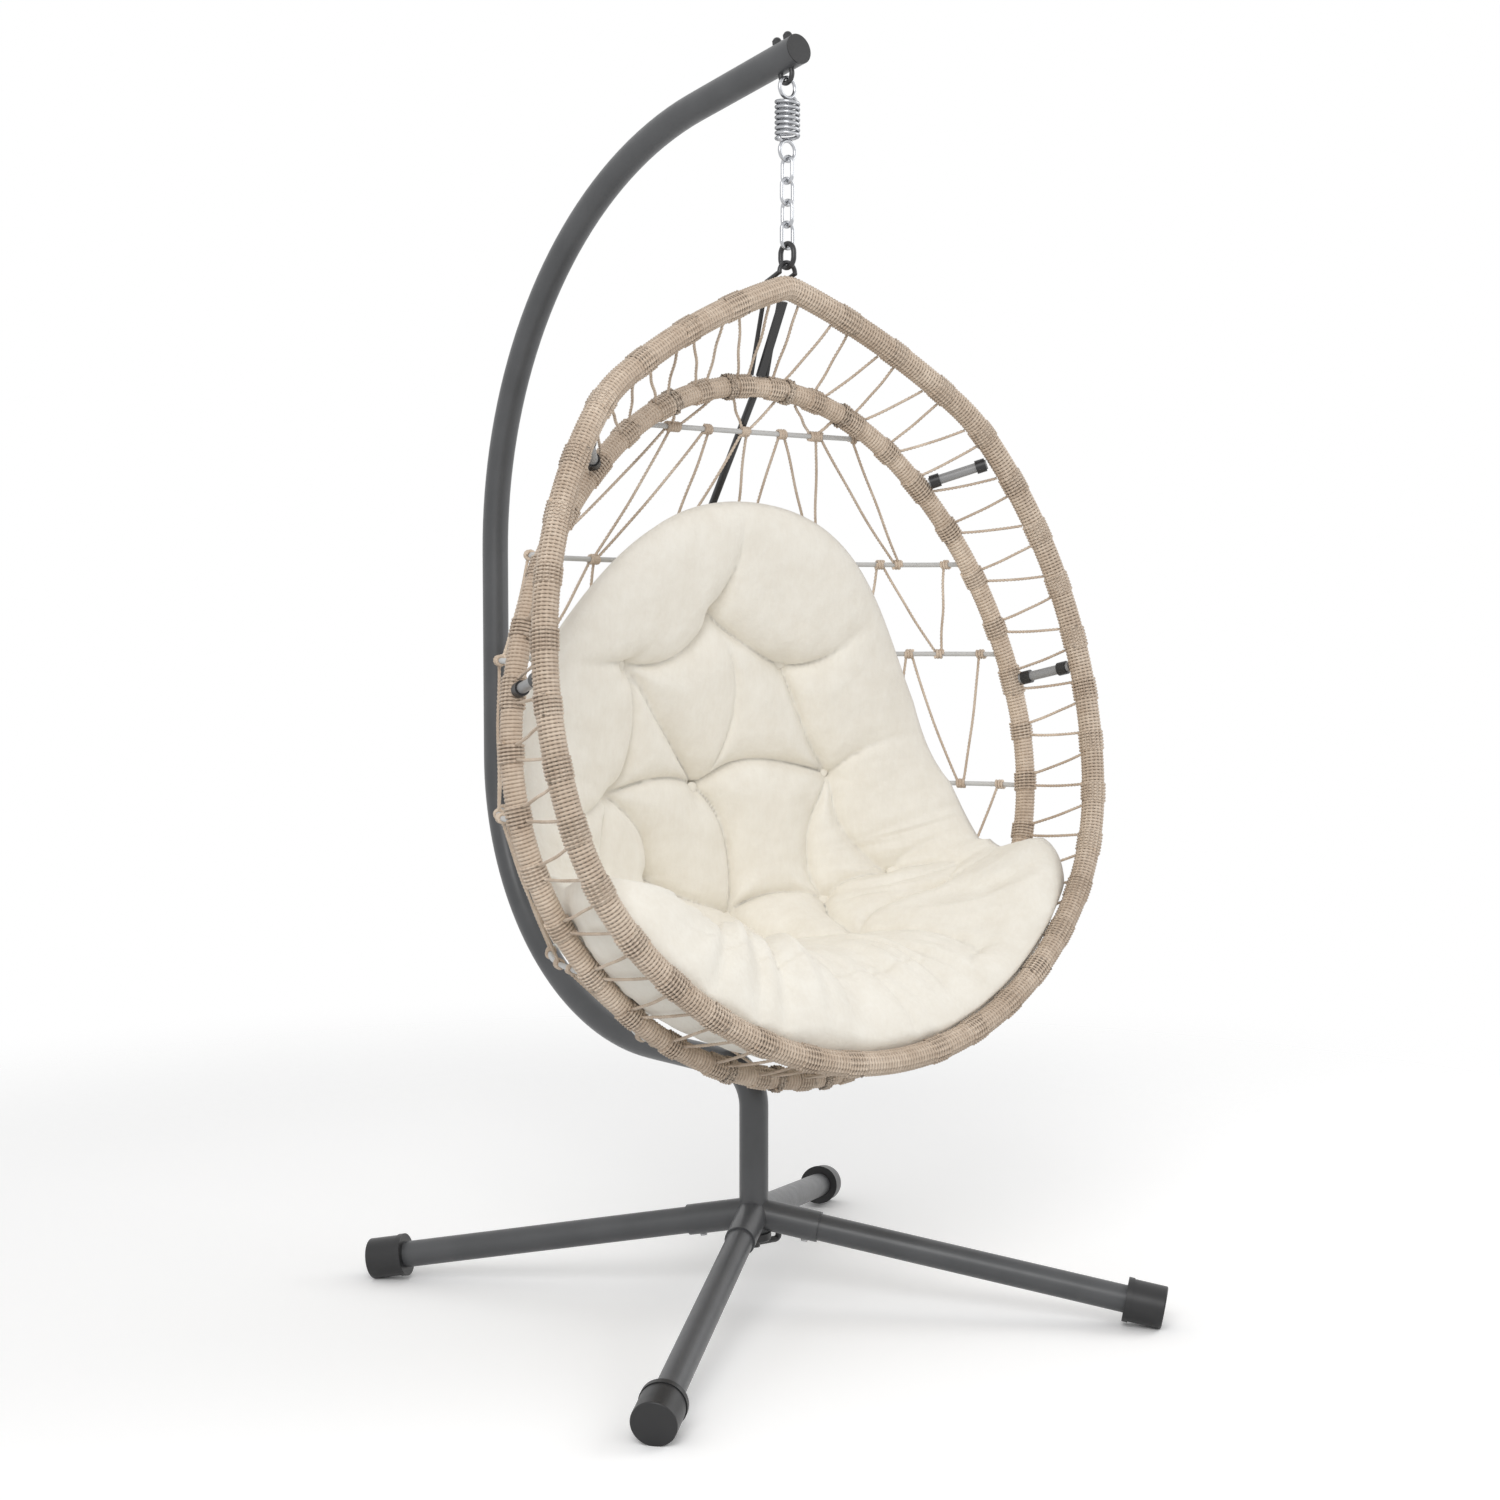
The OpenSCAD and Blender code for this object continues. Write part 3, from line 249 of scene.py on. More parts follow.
# ---- Screws, spigot and clamp lever
# Zinc-plated screws and a drawn steel spigot; the lever is black coated rod.
screw_steel = painted(
    "screw_steel",
    (0.36, 0.36, 0.37),
    (0.5, 0.5, 0.51),
    0.34,
    peel_size=0.0005,
    peel=0.00002,
    metal=1.0,
)
dress(screw_steel, "leg_screws", "arm_joint_screws", "arm_joint_spigot")
black_coat = painted("black_coat", (0.014, 0.014, 0.015), (0.024, 0.024, 0.025), 0.4, coat=0.2)
dress(black_coat, "clamp_lever")

# ---- U-bolt and cap nuts
# Bent black-coated rod through the arm's tip, held by two cap nuts on top.
dress(black_coat, "hanger_u_bolt", "hanger_cap_nuts")

# ---- Spring and its end loops
# One zinc-plated spring wire: a close coil with a run to a round loop at each end.
zinc = painted(
    "zinc",
    (0.42, 0.43, 0.45),
    (0.62, 0.63, 0.65),
    0.27,
    peel_size=0.0016,
    peel=0.00003,
    metal=1.0,
)
hub_y = -0.109932
hang_y = hub_y - 0.0782955
top_loop_z = 1.87978
loop_spread = 0.094
loop_r = 0.015
wire_r = 0.003
coil_r = 0.0165
coil_turns = 7.5
coil_clear = 0.1  # of a turn at either end, left to the run to the loop
coil_steps = 340
run_step = 0.001
air = 0.0004  # between faces that lie close and don't touch
end_near = loop_r + wire_r + air
end_far = end_near + 2 * wire_r
end_fall = math.sqrt(end_far**2 - coil_r**2)
same_spot = 1e-6


def shape_tree(tree_name, inputs):
    """A shape tree that takes a mesh and these inputs, and a wire from each by its name."""
    tree = bpy.data.node_groups.new(tree_name, "GeometryNodeTree")
    tree.interface.new_socket("Mesh", in_out="INPUT", socket_type="NodeSocketGeometry")
    for label, kind in inputs:
        tree.interface.new_socket(label, in_out="INPUT", socket_type=kind)
    tree.interface.new_socket("Shape", in_out="OUTPUT", socket_type="NodeSocketGeometry")
    given = tree.nodes.new("NodeGroupInput")
    return tree, {s.name: Wire(tree, s) for s in given.outputs if s.name}


def rope_tree():
    """A strand of three plies: a lobed section swept along a line and turned as it goes."""
    wanted = [
        ("Radius", "NodeSocketFloat"),
        ("Ply Depth", "NodeSocketFloat"),
        ("Lay Length", "NodeSocketFloat"),
        ("Sides", "NodeSocketInt"),
        ("Finish", "NodeSocketMaterial"),
    ]
    plies = 3
    tree, given = shape_tree("laid_rope", wanted)
    start = Wire(tree)
    line = start.node("GeometryNodeMeshToCurve", {"Mesh": given["Mesh"]})
    along = start.node("GeometryNodeSplineParameter", out="Length")
    tilt = along / given["Lay Length"] * math.tau
    turned = start.node("GeometryNodeSetCurveTilt", {"Curve": line, "Tilt": tilt})
    circle = {"Resolution": given["Sides"], "Radius": given["Radius"]}
    section = start.node("GeometryNodeCurvePrimitiveCircle", circle)
    round_it = start.node("GeometryNodeInputIndex") / given["Sides"] * (plies * math.tau)
    lobe = start.maths("COSINE", round_it)
    size = lobe * given["Ply Depth"] + 1
    place = start.node("GeometryNodeInputPosition")
    moved = start.node("ShaderNodeVectorMath", {0: place, "Scale": size}, operation="SCALE")
    lobed = start.node("GeometryNodeSetPosition", {"Geometry": section, "Position": moved})
    sweep = {"Curve": turned, "Profile Curve": lobed, "Fill Caps": True}
    strands = start.node("GeometryNodeCurveToMesh", sweep)
    smooth = start.node("GeometryNodeSetShadeSmooth", {"Geometry": strands})
    real = start.node("GeometryNodeRealizeInstances", {"Geometry": smooth})
    done = start.node("GeometryNodeSetMaterial", {"Geometry": real, "Material": given["Finish"]})
    start.node("NodeGroupOutput", {0: done})
    return tree


laid_rope = rope_tree()


def shaped(name, mesh, tree, values):
    """The object that a shape tree makes from a mesh, with its inputs set to the values."""
    given = bpy.data.objects.new(name + "_given", mesh)
    scene.collection.objects.link(given)
    tool = given.modifiers.new("shape", "NODES")
    tool.node_group = tree
    for item in tree.interface.items_tree:
        if item.in_out == "INPUT" and item.name in values:
            tool[item.identifier] = values[item.name]
    ready = given.evaluated_get(bpy.context.evaluated_depsgraph_get())
    made = bpy.data.objects.new(name, bpy.data.meshes.new_from_object(ready))
    made.data.name = name
    scene.collection.objects.link(made)
    bpy.data.objects.remove(given)
    return made


def swept(name, lines, radius, finish, sides=12, ply=0.0, lay=0.02):
    """One object swept along lines of points. A line whose last point is its first is closed."""
    points, edges = [], []
    for line in lines:
        first = len(points)
        closed = (Vector(line[0]) - Vector(line[-1])).length < same_spot
        line = line[:-1] if closed else line
        points += [tuple(p) for p in line]
        edges += [(first + i, first + i + 1) for i in range(len(line) - 1)]
        if closed:
            edges.append((len(points) - 1, first))
    mesh = bpy.data.meshes.new(name + "_line")
    mesh.from_pydata(points, edges, [])
    values = {"Radius": radius, "Ply Depth": ply, "Lay Length": lay, "Sides": sides}
    made = shaped(name, mesh, laid_rope, {**values, "Finish": finish})
    outwards(made.data)
    return made


def outwards(mesh):
    """Closes seams and turns every face outwards."""
    shell = bmesh.new()
    shell.from_mesh(mesh)
    bmesh.ops.remove_doubles(shell, verts=shell.verts, dist=same_spot)
    bmesh.ops.recalc_face_normals(shell, faces=shell.faces)
    shell.to_mesh(mesh)
    shell.free()
    mesh.polygons.foreach_set("use_smooth", [True] * len(mesh.polygons))


def rounded(points, step):
    """Points about a step apart on a smooth line through the given ones."""
    points = [Vector(p) for p in points]
    ends = [2 * points[0] - points[1], *points, 2 * points[-1] - points[-2]]
    line = []
    for a, b, c, d in zip(ends, ends[1:], ends[2:], ends[3:]):
        count = max(2, round((c - b).length / step))
        for i in range(count):
            t = i / count
            square, cube = 2 * a - 5 * b + 4 * c - d, 3 * b - a - 3 * c + d
            line.append(0.5 * (2 * b + (c - a) * t + square * t**2 + cube * t**3))
    return [*line, points[-1]]


coil_top = top_loop_z - end_fall
coil_drop = loop_spread - 2 * end_fall


def coil_spot(t):
    """The wire's middle after t turns from the top."""
    across, back = coil_r * math.cos(math.tau * t), coil_r * math.sin(math.tau * t)
    return Vector((across, hang_y + back, coil_top - t * coil_drop / coil_turns))


coil_line = [coil_spot(t) for t in np.linspace(coil_clear, coil_turns - coil_clear, coil_steps)]
near_x = end_near * coil_r / end_far
near_z = end_near * end_fall / end_far
low_loop_z = top_loop_z - loop_spread
top_run = [(near_x, hang_y, top_loop_z - near_z), (coil_r, hang_y, coil_top), coil_line[0]]
low_run = [
    coil_line[-1],
    (-coil_r, hang_y, coil_top - coil_drop),
    (-near_x, hang_y, low_loop_z + near_z),
]
coil_line = rounded(top_run, run_step)[:-1] + coil_line + rounded(low_run, run_step)[1:]
spring = swept("spring", [coil_line], wire_r, zinc)
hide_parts("spring_coil")
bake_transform(spring)
dress(zinc, "spring_upper_loop", "spring_lower_loop")

# ---- Chain and oval link
# Four welded zinc-plated links and one larger black link that carries the basket's eye.
dress(zinc, "chain_link_1", "chain_link_2", "chain_link_3", "chain_link_4")
dress(black_coat, "oval_link")

# ---- Eye, top brace and back spine
# Black-coated rod and flat bar, welded to the two rings of the basket.
dress(black_coat, "basket_eye", "top_brace", "back_spine")

# ---- Ribs, spacers and collars
# Thin pale-coated rods round the back, and grey tubes in black collars between the rings.
grey_bar = painted("grey_bar", (0.25, 0.252, 0.255), (0.31, 0.312, 0.315), 0.42, coat=0.1)
ribs = ["rib_top", "rib_upper", "rib_middle", "rib_lower", "rib_seat", "rib_floor"]
pale_bar = painted("pale_bar", (0.5, 0.5, 0.49), (0.6, 0.6, 0.59), 0.5)
dress(pale_bar, *ribs)
spacers = [name for name in nodes if name.startswith("spacer_") and name != "spacer_collars"]
dress(grey_bar, *spacers)
dress(cap_plastic, "spacer_collars")

# ---- Rings: steel tube wound with rope
# The front rim and the rear hoop are steel tubes, each wound turn by turn with one rope.
ring_steel = painted("ring_steel", (0.05, 0.05, 0.052), (0.08, 0.08, 0.082), 0.5)
dress(ring_steel, "rim_tube", "hoop_tube")


def rope_finish():
    """Beige rope fibre in patches of two tones, a little worn."""
    finish, start = blank("rope")
    fibre = grain(start, 0.0007, 3, rough=0.7)
    patch = grain(start, 0.013, 3)
    worn = grain(start, 0.11, 2).kept(0.3, 0.75)
    tone = (patch * 0.55 + fibre * 0.3 + worn * 0.25 - 0.1).kept(0.15, 0.85)
    body = start.node(
        "ShaderNodeBsdfPrincipled",
        {
            "Base Color": tone.blend((0.55, 0.43, 0.325, 1), (0.86, 0.73, 0.595, 1)),
            "Roughness": 0.66 + (fibre - 0.5) * 0.2,
            "Sheen Weight": 0.1,
            "Normal": bumped(start, fibre, 0.00035, 0.8),
        },
    )
    shown(start, body)
    return finish


rope = rope_finish()


def bend_end(at, heading, size, turn):
    """Where a bend of a radius and a turn ends, or a straight of a length where turn is 0."""
    if turn == 0:
        return at + size * Vector((math.cos(heading), math.sin(heading)))
    side = math.copysign(1, turn)
    centre = at + side * size * Vector((-math.sin(heading), math.cos(heading)))
    out = heading + turn
    return centre + side * size * Vector((math.sin(out), -math.cos(out)))


class Run:
    """A plane line of bends (radius, degrees) and straights (length, 0)."""

    least_bend = 1e-7

    def __init__(self, parts, at=(0, 0), heading=0.0):
        self.parts, at, heading = [], Vector(at), math.radians(heading)
        self.length = 0
        for size, degrees in parts:
            turn = math.radians(degrees)
            self.parts.append((at, heading, size, turn, self.length))
            self.length += size * abs(turn) if turn else size
            at, heading = bend_end(at, heading, size, turn), heading + turn
        self.end, self.heading = at, heading

    def at(self, s):
        """The point at the length s, and the heading there."""
        for at, heading, size, turn, before in reversed(self.parts):
            if s >= before or before == 0:
                left = s - before
                if turn == 0 or abs(left) < self.least_bend:
                    return bend_end(at, heading, left, 0), heading
                part = math.copysign(left / size, turn)
                return bend_end(at, heading, size, part), heading + part


def shut(bends):
    """The bends of a half ring, with a last one that ends it level in the middle of the top."""
    begun = Run(bends)
    return [*bends, (begun.end.x / math.sin(begun.heading), 180 - math.degrees(begun.heading))]


halvings = 40


class Ring:
    """A closed ring in a leaning plane, by the length from its lowest point on the right side."""

    def __init__(self, bends, top, lean, radius):
        self.half = Run(shut(bends))
        self.up = Vector((0, math.sin(math.radians(lean)), math.cos(math.radians(lean))))
        self.low = Vector(top) - self.half.end.y * self.up
        self.radius = radius
        self.half_run = self.half.length

    def place(self, s):
        """The point and direction on the axis at the length s, past the top on the left side."""
        side = 1
        s %= 2 * self.half_run
        if s > self.half_run:
            side, s = -1, 2 * self.half_run - s
        p, heading = self.half.at(s)
        point = self.low + Vector((side * p.x, 0, 0)) + p.y * self.up
        along = Vector((math.cos(heading), 0, 0)) + side * math.sin(heading) * self.up
        return point, along

    def height_at(self, z):
        """The length on the right side where the axis has the height z."""
        low, high = 0.0, self.half_run
        for _ in range(halvings):
            middle = (low + high) / 2
            if self.place(middle)[0].z < z:
                low = middle
            else:
                high = middle
        return low

    def winding(self, s0, s1, radius, pitch, start_turn=0.0, steps=14):
        """A helix round the ring's axis from s0 to s1. Round a whole ring its turns are whole."""
        across = Vector((0, self.up.z, -self.up.y))
        turns = (s1 - s0) / pitch
        if s1 - s0 > self.half_run:
            turns = round(turns)
        count = round(turns * steps)
        line = []
        for i in range(count + 1):
            s = s0 + (s1 - s0) * i / count
            p, along = self.place(s)
            angle = math.tau * (i / steps + start_turn)
            other = along.cross(across)
            line.append(p + radius * (math.cos(angle) * across + math.sin(angle) * other))
        return line


eye_top = 1.61908
rim_top = Vector((0, hang_y, eye_top - 0.0385))
rim_bends = [(0.568, 48.3), (0.414, 29.6), (0.707, 49.2), (0.266, 18.1), (1.227, 16.7)]
hoop_bends = [(0.528, 54.4), (0.456, 43.3), (0.649, 43.9)]
hoop_off = Vector((0, 0.0705, -0.143))
rim = Ring(rim_bends, rim_top, lean=11.93, radius=0.019)
hoop = Ring(hoop_bends, rim_top + hoop_off, lean=8.42, radius=0.0165)
winding_r, winding_pitch, winding_sides = 0.0034, 0.0055, 7
for name, ring in (("rim_winding", rim), ("hoop_winding", hoop)):
    line = ring.winding(0, 2 * ring.half_run, ring.radius - winding_r, winding_pitch)
    wound = swept(name, [line], winding_r, rope, sides=winding_sides)
    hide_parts(name.replace("winding", "wrap"))
    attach(wound, "basket")

# ---- Spine and rib lines
# The rods that the net is tied to: the spine down the middle of the back, and flat arches
# from one side of the hoop round inside the spine to the other.
spine_lean = -58
spine_bends = [(0.198, 0), (1.1, -32), (0.2457, -79)]
spine_heading = math.radians(spine_lean)
spine_off = hoop.radius + air
spine_r, rib_r, rib_air = 0.006, 0.004, 0.0001
hoop_top = hoop.place(hoop.half_run)[0]
spine_way = Vector((math.cos(spine_heading), math.sin(spine_heading)))
spine_start = Vector((hoop_top.y, hoop_top.z)) + spine_off * spine_way
spine_run = Run(spine_bends, spine_start, spine_lean)


def spine_y(z, off):
    """How far back a line that runs inside the spine, at a distance off, has the height z."""
    low, high = 0.0, spine_run.length
    for _ in range(halvings):
        s = (low + high) / 2
        p, heading = spine_run.at(s)
        p = p + off * Vector((math.sin(heading), -math.cos(heading)))
        low, high = (s, high) if p.y > z else (low, s)
    return p.x


class Rib:
    """A flat arch from one side of the hoop to the other, by the share of its length."""

    end_gap, end_least, bow_share = 0.002, 0.004, 0.95
    corner_most, corner_share = 0.09, 0.7

    def __init__(self, drop):
        self.z = rim_top.z - drop
        side = hoop.place(hoop.height_at(self.z))[0]
        depth = spine_y(self.z, spine_r + rib_r + rib_air) - side.y
        off = hoop.radius + self.end_gap
        straight = max(off + self.end_least, depth - self.bow_share * side.x)
        d = depth - straight
        r1 = min(self.corner_most, self.corner_share * d)
        r = ((side.x - r1) ** 2 + d * d - r1 * r1) / (2 * (d - r1))
        a = math.degrees(math.acos((side.x - r1) / (r - r1)))
        end = (straight - off, 0)
        parts = [end, (r1, a), (r, 180 - 2 * a), (r1, a), end]
        self.run = Run(parts, (side.x, side.y + off), 90)
        self.length = self.run.length
        self.radius = rib_r

    def edge(self, f):
        """The point and direction at the share f of the length."""
        p, heading = self.run.at(f * self.length)
        return Vector((p.x, p.y, self.z)), Vector((math.cos(heading), math.sin(heading), 0))


class HoopPart:
    """The top or the bottom of the hoop, as a net's edge from right to left."""

    def __init__(self, s0, s1):
        self.s0, self.s1, self.radius = s0, s1, hoop.radius
        self.length = abs(s1 - s0)

    def edge(self, f):
        """The point and direction at the share f of the length."""
        return hoop.place(self.s0 + (self.s1 - self.s0) * f)


rib_drops = [0.210, 0.410, 0.560, 0.780, 1.0, 1.118]
net_top_gap, net_low_gap = 0.04, 0.03
rib_lines = [Rib(drop) for drop in rib_drops]
top_s = hoop.height_at(rib_lines[0].z) + net_top_gap
low_s = hoop.height_at(rib_lines[-1].z) - net_low_gap
net_edges = [
    HoopPart(top_s, 2 * hoop.half_run - top_s),
    *rib_lines,
    HoopPart(low_s, -low_s),
]

# ---- Lacing and nets
# Laid rope of 5 mm, laced in a zigzag between the rings and from rib to rib, and lashed
# round each bar where it turns. Each run hangs a little slack.
rope_r = 0.0025
rope_sides, lashing_sides = 9, 8
ply_depth, lay_length = 0.13, 0.019
sag, side_sway, wave_high = 0.022, 0.02, 0.0012  # the first two as shares of the length
strand_step = 0.006
end_air, end_bite = 0.0003, 0.001
lashing_pitch, lashing_steps, lashing_least = 0.0049, 12, 1.6
lashing_share, lashing_uneven = 0.8, 0.03


def strand(a, ta, ra, b, tb, rb, seed):
    """The line of a slack strand from the face of one bar to the face of another."""
    d = (b - a).normalized()
    cuts = []
    for t, r in ((ta, ra), (tb, rb)):
        slant = abs(d.dot(t))
        cut = (r + end_air + rope_r * slant) / math.sqrt(1 - slant * slant)
        cuts.append(cut - end_bite)
    p, q = a + cuts[0] * d, b - cuts[1] * d
    long = (q - p).length
    down = (Vector((0, 0, -1)) + d.z * d).normalized()
    side = d.cross(down)
    loose = sag * (0.6 + 0.8 * noise.noise(Vector((seed, 3.1, 0.4))) ** 2)
    sway = side_sway * noise.noise(Vector((seed * 1.7, 0.2, 5.3)))
    count = max(8, round(long / strand_step))
    line = []
    for i in range(count + 1):
        t = i / count
        hump = 4 * t * (1 - t)
        wave = wave_high * math.sin(9 * t + seed) * hump
        line.append(p + t * (q - p) + long * hump * (loose * down + sway * side) + wave * side)
    return line


def lashing(middle, along, bar_r, half, seed):
    """A few turns of rope round a straight bit of bar, with the rope's axis just over the bar."""
    across = along.orthogonal().normalized()
    other = along.cross(across)
    count = round(max(lashing_least, 2 * half / lashing_pitch) * lashing_steps)
    radius = bar_r + rope_r * lashing_share
    line = []
    for i in range(count + 1):
        turn = math.tau * i / lashing_steps + seed
        uneven = 1 + lashing_uneven * noise.noise(Vector((seed, i * 0.2, 1.0)))
        out = radius * uneven * (math.cos(turn) * across + math.sin(turn) * other)
        line.append(middle + along * half * (2 * i / count - 1) + out)
    return line


def tied(name, lines, *replaced):
    """One piece of laid rope in the place of CAD nodes, which rides on the basket."""
    made = swept(name, lines, rope_r, rope, rope_sides, ply_depth, lay_length)
    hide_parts(*replaced)
    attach(made, "basket")


def lookup(value, keys, values):
    return float(np.interp(value, keys, values))


lace_count = 19
spacer_laces = (5, 9)  # the turns that lie on a spacer's collar, and are wider
spacer_half, lace_half, rim_half = 0.015, 0.0075, 0.015
band_past, hoop_band_pitch, rim_band_pitch = 0.007, 0.0052, 0.0053
hoop_band_r, rim_band_r = hoop.radius + 0.0002, rim.radius - 0.0008
rim_band_half, rim_band_uneven = 0.016, 0.005
rim_clear = 0.03  # of the rim's lowest and highest points, which stay free of lashings


def lace_hoop(k):
    """The length along the hoop where the k-th turn of the lacing goes round it."""
    keys, drops = [1, *spacer_laces, lace_count + 0.5], [0.032, 0.366, 0.739, hoop.half_run]
    return hoop.half_run - lookup(k, keys, drops)


def lace_rim(k):
    """The same along the rim, where the turns lie halfway between those on the hoop."""
    keys, drops = [0.5, *spacer_laces, lace_count + 0.5], [0.015, 0.491, 0.855, rim.half_run]
    return rim.half_run - lookup(k, keys, drops)


def mirrored(ring, s, left):
    return 2 * ring.half_run - s if left else s


lace_lines, band_lines = [], []
for left in (False, True):
    for k in range(1, lace_count + 1):
        half = spacer_half if k in spacer_laces else lace_half
        for sign, rim_k in ((1, k - 0.5), (-1, k + 0.5)):
            a, ta = hoop.place(mirrored(hoop, lace_hoop(k) + sign * half, left))
            b, tb = rim.place(mirrored(rim, lace_rim(rim_k) - sign * rim_half, left))
            seed = k * 2.3 + sign + 50 * left
            lace_lines.append(strand(a, ta, hoop.radius, b, tb, rim.radius, seed))
        middle = mirrored(hoop, lace_hoop(k), left)
        first, last = middle - (half + band_past), middle + (half + band_past)
        band_lines.append(hoop.winding(first, last, hoop_band_r, hoop_band_pitch, k * 0.37))
    for k in range(lace_count + 1):
        middle = mirrored(rim, lace_rim(k + 0.5), left)
        reach = rim_band_half + rim_band_uneven * noise.noise(Vector((k * 1.9, left, 0.5)))
        if rim_clear < abs(middle - rim.half_run) < rim.half_run - rim_clear:
            first, last = middle - reach, middle + reach
            band_lines.append(rim.winding(first, last, rim_band_r, rim_band_pitch, k * 0.29))
tied("rim_lacing_rope", lace_lines, "rim_lacing")
bands = swept("lashings", band_lines, rope_r, rope, sides=lashing_sides)
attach(bands, "basket")

net_turns = {
    "net_top": 3,
    "net_neck": 6,
    "net_upper": 8,
    "net_middle": 9,
    "net_lower": 9,
    "net_seat": 7,
    "net_floor": 5,
}
knot_half, knot_reach = 0.004, 0.0065
knot_lines = []
for row, (name, turns) in enumerate(net_turns.items()):
    above, below = net_edges[row], net_edges[row + 1]
    lines = []
    for i in range(2 * turns):
        up = i % 2 == 0
        ka = knot_half / above.length * (1 if up else -1)
        kb = knot_half / below.length * (-1 if up else 1)
        fa = (i + (0 if up else 1) + 0.5) / (2 * turns + 1)
        fb = (i + (1 if up else 0) + 0.5) / (2 * turns + 1)
        a, ta = above.edge(fa + ka)
        b, tb = below.edge(fb + kb)
        seed = row * 31.7 + i * 1.3
        lines.append(strand(a, ta, above.radius, b, tb, below.radius, seed))
        for place, edge in ((fa, above), (fb, below)):
            middle, along = edge.edge(place)
            knot_lines.append(lashing(middle, along, edge.radius, knot_reach, seed))
    tied(name + "_rope", lines, name)
knots = swept("net_lashings", knot_lines, rope_r, rope, sides=lashing_sides)
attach(knots, "basket")

# ---- Cushion
# One deep pad of off-white cotton over loose filling, quilted with sewn tufts that pull
# soft creases between them. It fills the bowl and rolls over to the front rim. Its edge seam
# lies in a surface inside the spine's curve, where u goes across from -1 to 1 and v goes up
# from -1 at the front edge to 1 at the head.
lift = 0.063
bowl_bends = [(size - lift if turn else size, turn) for size, turn in spine_bends]
bowl_start = spine_start + lift * Vector((math.sin(spine_heading), -math.cos(spine_heading)))
bowl_run = Run([*bowl_bends, (0.7, -8), (0.4, 0)], bowl_start, spine_lean)
cushion_head, cushion_past = 0.15, 0.014
seam_corner, head_corner = 0.17, 0.5
front_deep, back_deep, front_plump = 0.0864, 0.0336, 0.012
facing_step = 0.02
bowl_axis = Vector((hang_y - 0.022, rim_top.z - 0.75))
rim_across = Vector((rim.up.z, -rim.up.y))
bowl_last = bowl_run.parts[-1]


def cushion_scale(x, v):
    """How far a slice at x across reaches from the bowl's axis, as a share of the middle one."""
    half = lookup(v, [-1, -0.8, -0.3, 0.2, 0.6], [0.484, 0.476, 0.448, 0.452, 0.460])
    power = lookup(v, [-0.8, -0.3], [2.2, 1.95])
    return (1 - (abs(x) / half) ** power) ** (1 / power)


def cushion_end(x):
    """The length along the bowl where the slice at x across meets the rim's plane."""
    rim_far = rim_across.dot(Vector((rim.low.y, rim.low.z)) - bowl_axis) + cushion_past
    far = rim_far / cushion_scale(x, -1)
    near = rim_across.dot(bowl_last[0] - bowl_axis)
    heading = Vector((math.cos(bowl_last[1]), math.sin(bowl_last[1])))
    return bowl_run.length - bowl_last[2] + (far - near) / rim_across.dot(heading)


def cushion_half(v):
    """Half the cushion's width."""
    halves = [0.474, 0.464, 0.43, 0.412, 0.412, 0.392, 0.346]
    return lookup(v, [-1, -0.8, -0.5, -0.2, 0.2, 0.6, 1], halves)


def cushion_mid(u, v):
    """The point of the seam's surface at u and v."""
    x = cushion_half(v) * u
    s = cushion_head + (cushion_end(x) - cushion_head) * (1 - v) / 2
    p = bowl_axis + (bowl_run.at(s)[0] - bowl_axis) * cushion_scale(x, v)
    return Vector((x, p.x, p.y))


def cushion_out(u, v):
    """The way that the front face looks there."""
    e = facing_step
    across = cushion_mid(u + e, v) - cushion_mid(u - e, v)
    down = cushion_mid(u, v - e) - cushion_mid(u, v + e)
    return down.cross(across).normalized()


# The tufts, and the places on the edge seam where creases end, as u and v.
tufts = [
    (-0.08, 0.71), (0.37, 0.58), (-0.55, 0.61), (0.62, 0.25), (-0.02, 0.22), (-0.55, 0.23),
    (0.8, -0.19), (0.58, -0.23), (0.15, -0.2), (-0.3, -0.03), (0.85, -0.5), (0.45, -0.57),
    (0.2, -0.44), (-0.62, -0.26), (-0.2, -0.45), (-0.66, -0.56),
]
crease_ends = tufts + [
    (-0.05, 1.0), (0.82, 0.9), (0.98, 0.46), (1.0, -0.1), (1.0, -0.55), (0.6, -0.87),
    (0.5, -1.0), (-0.95, 0.75), (-0.97, 0.12), (-1.0, -0.35), (-0.62, -1.0),
]
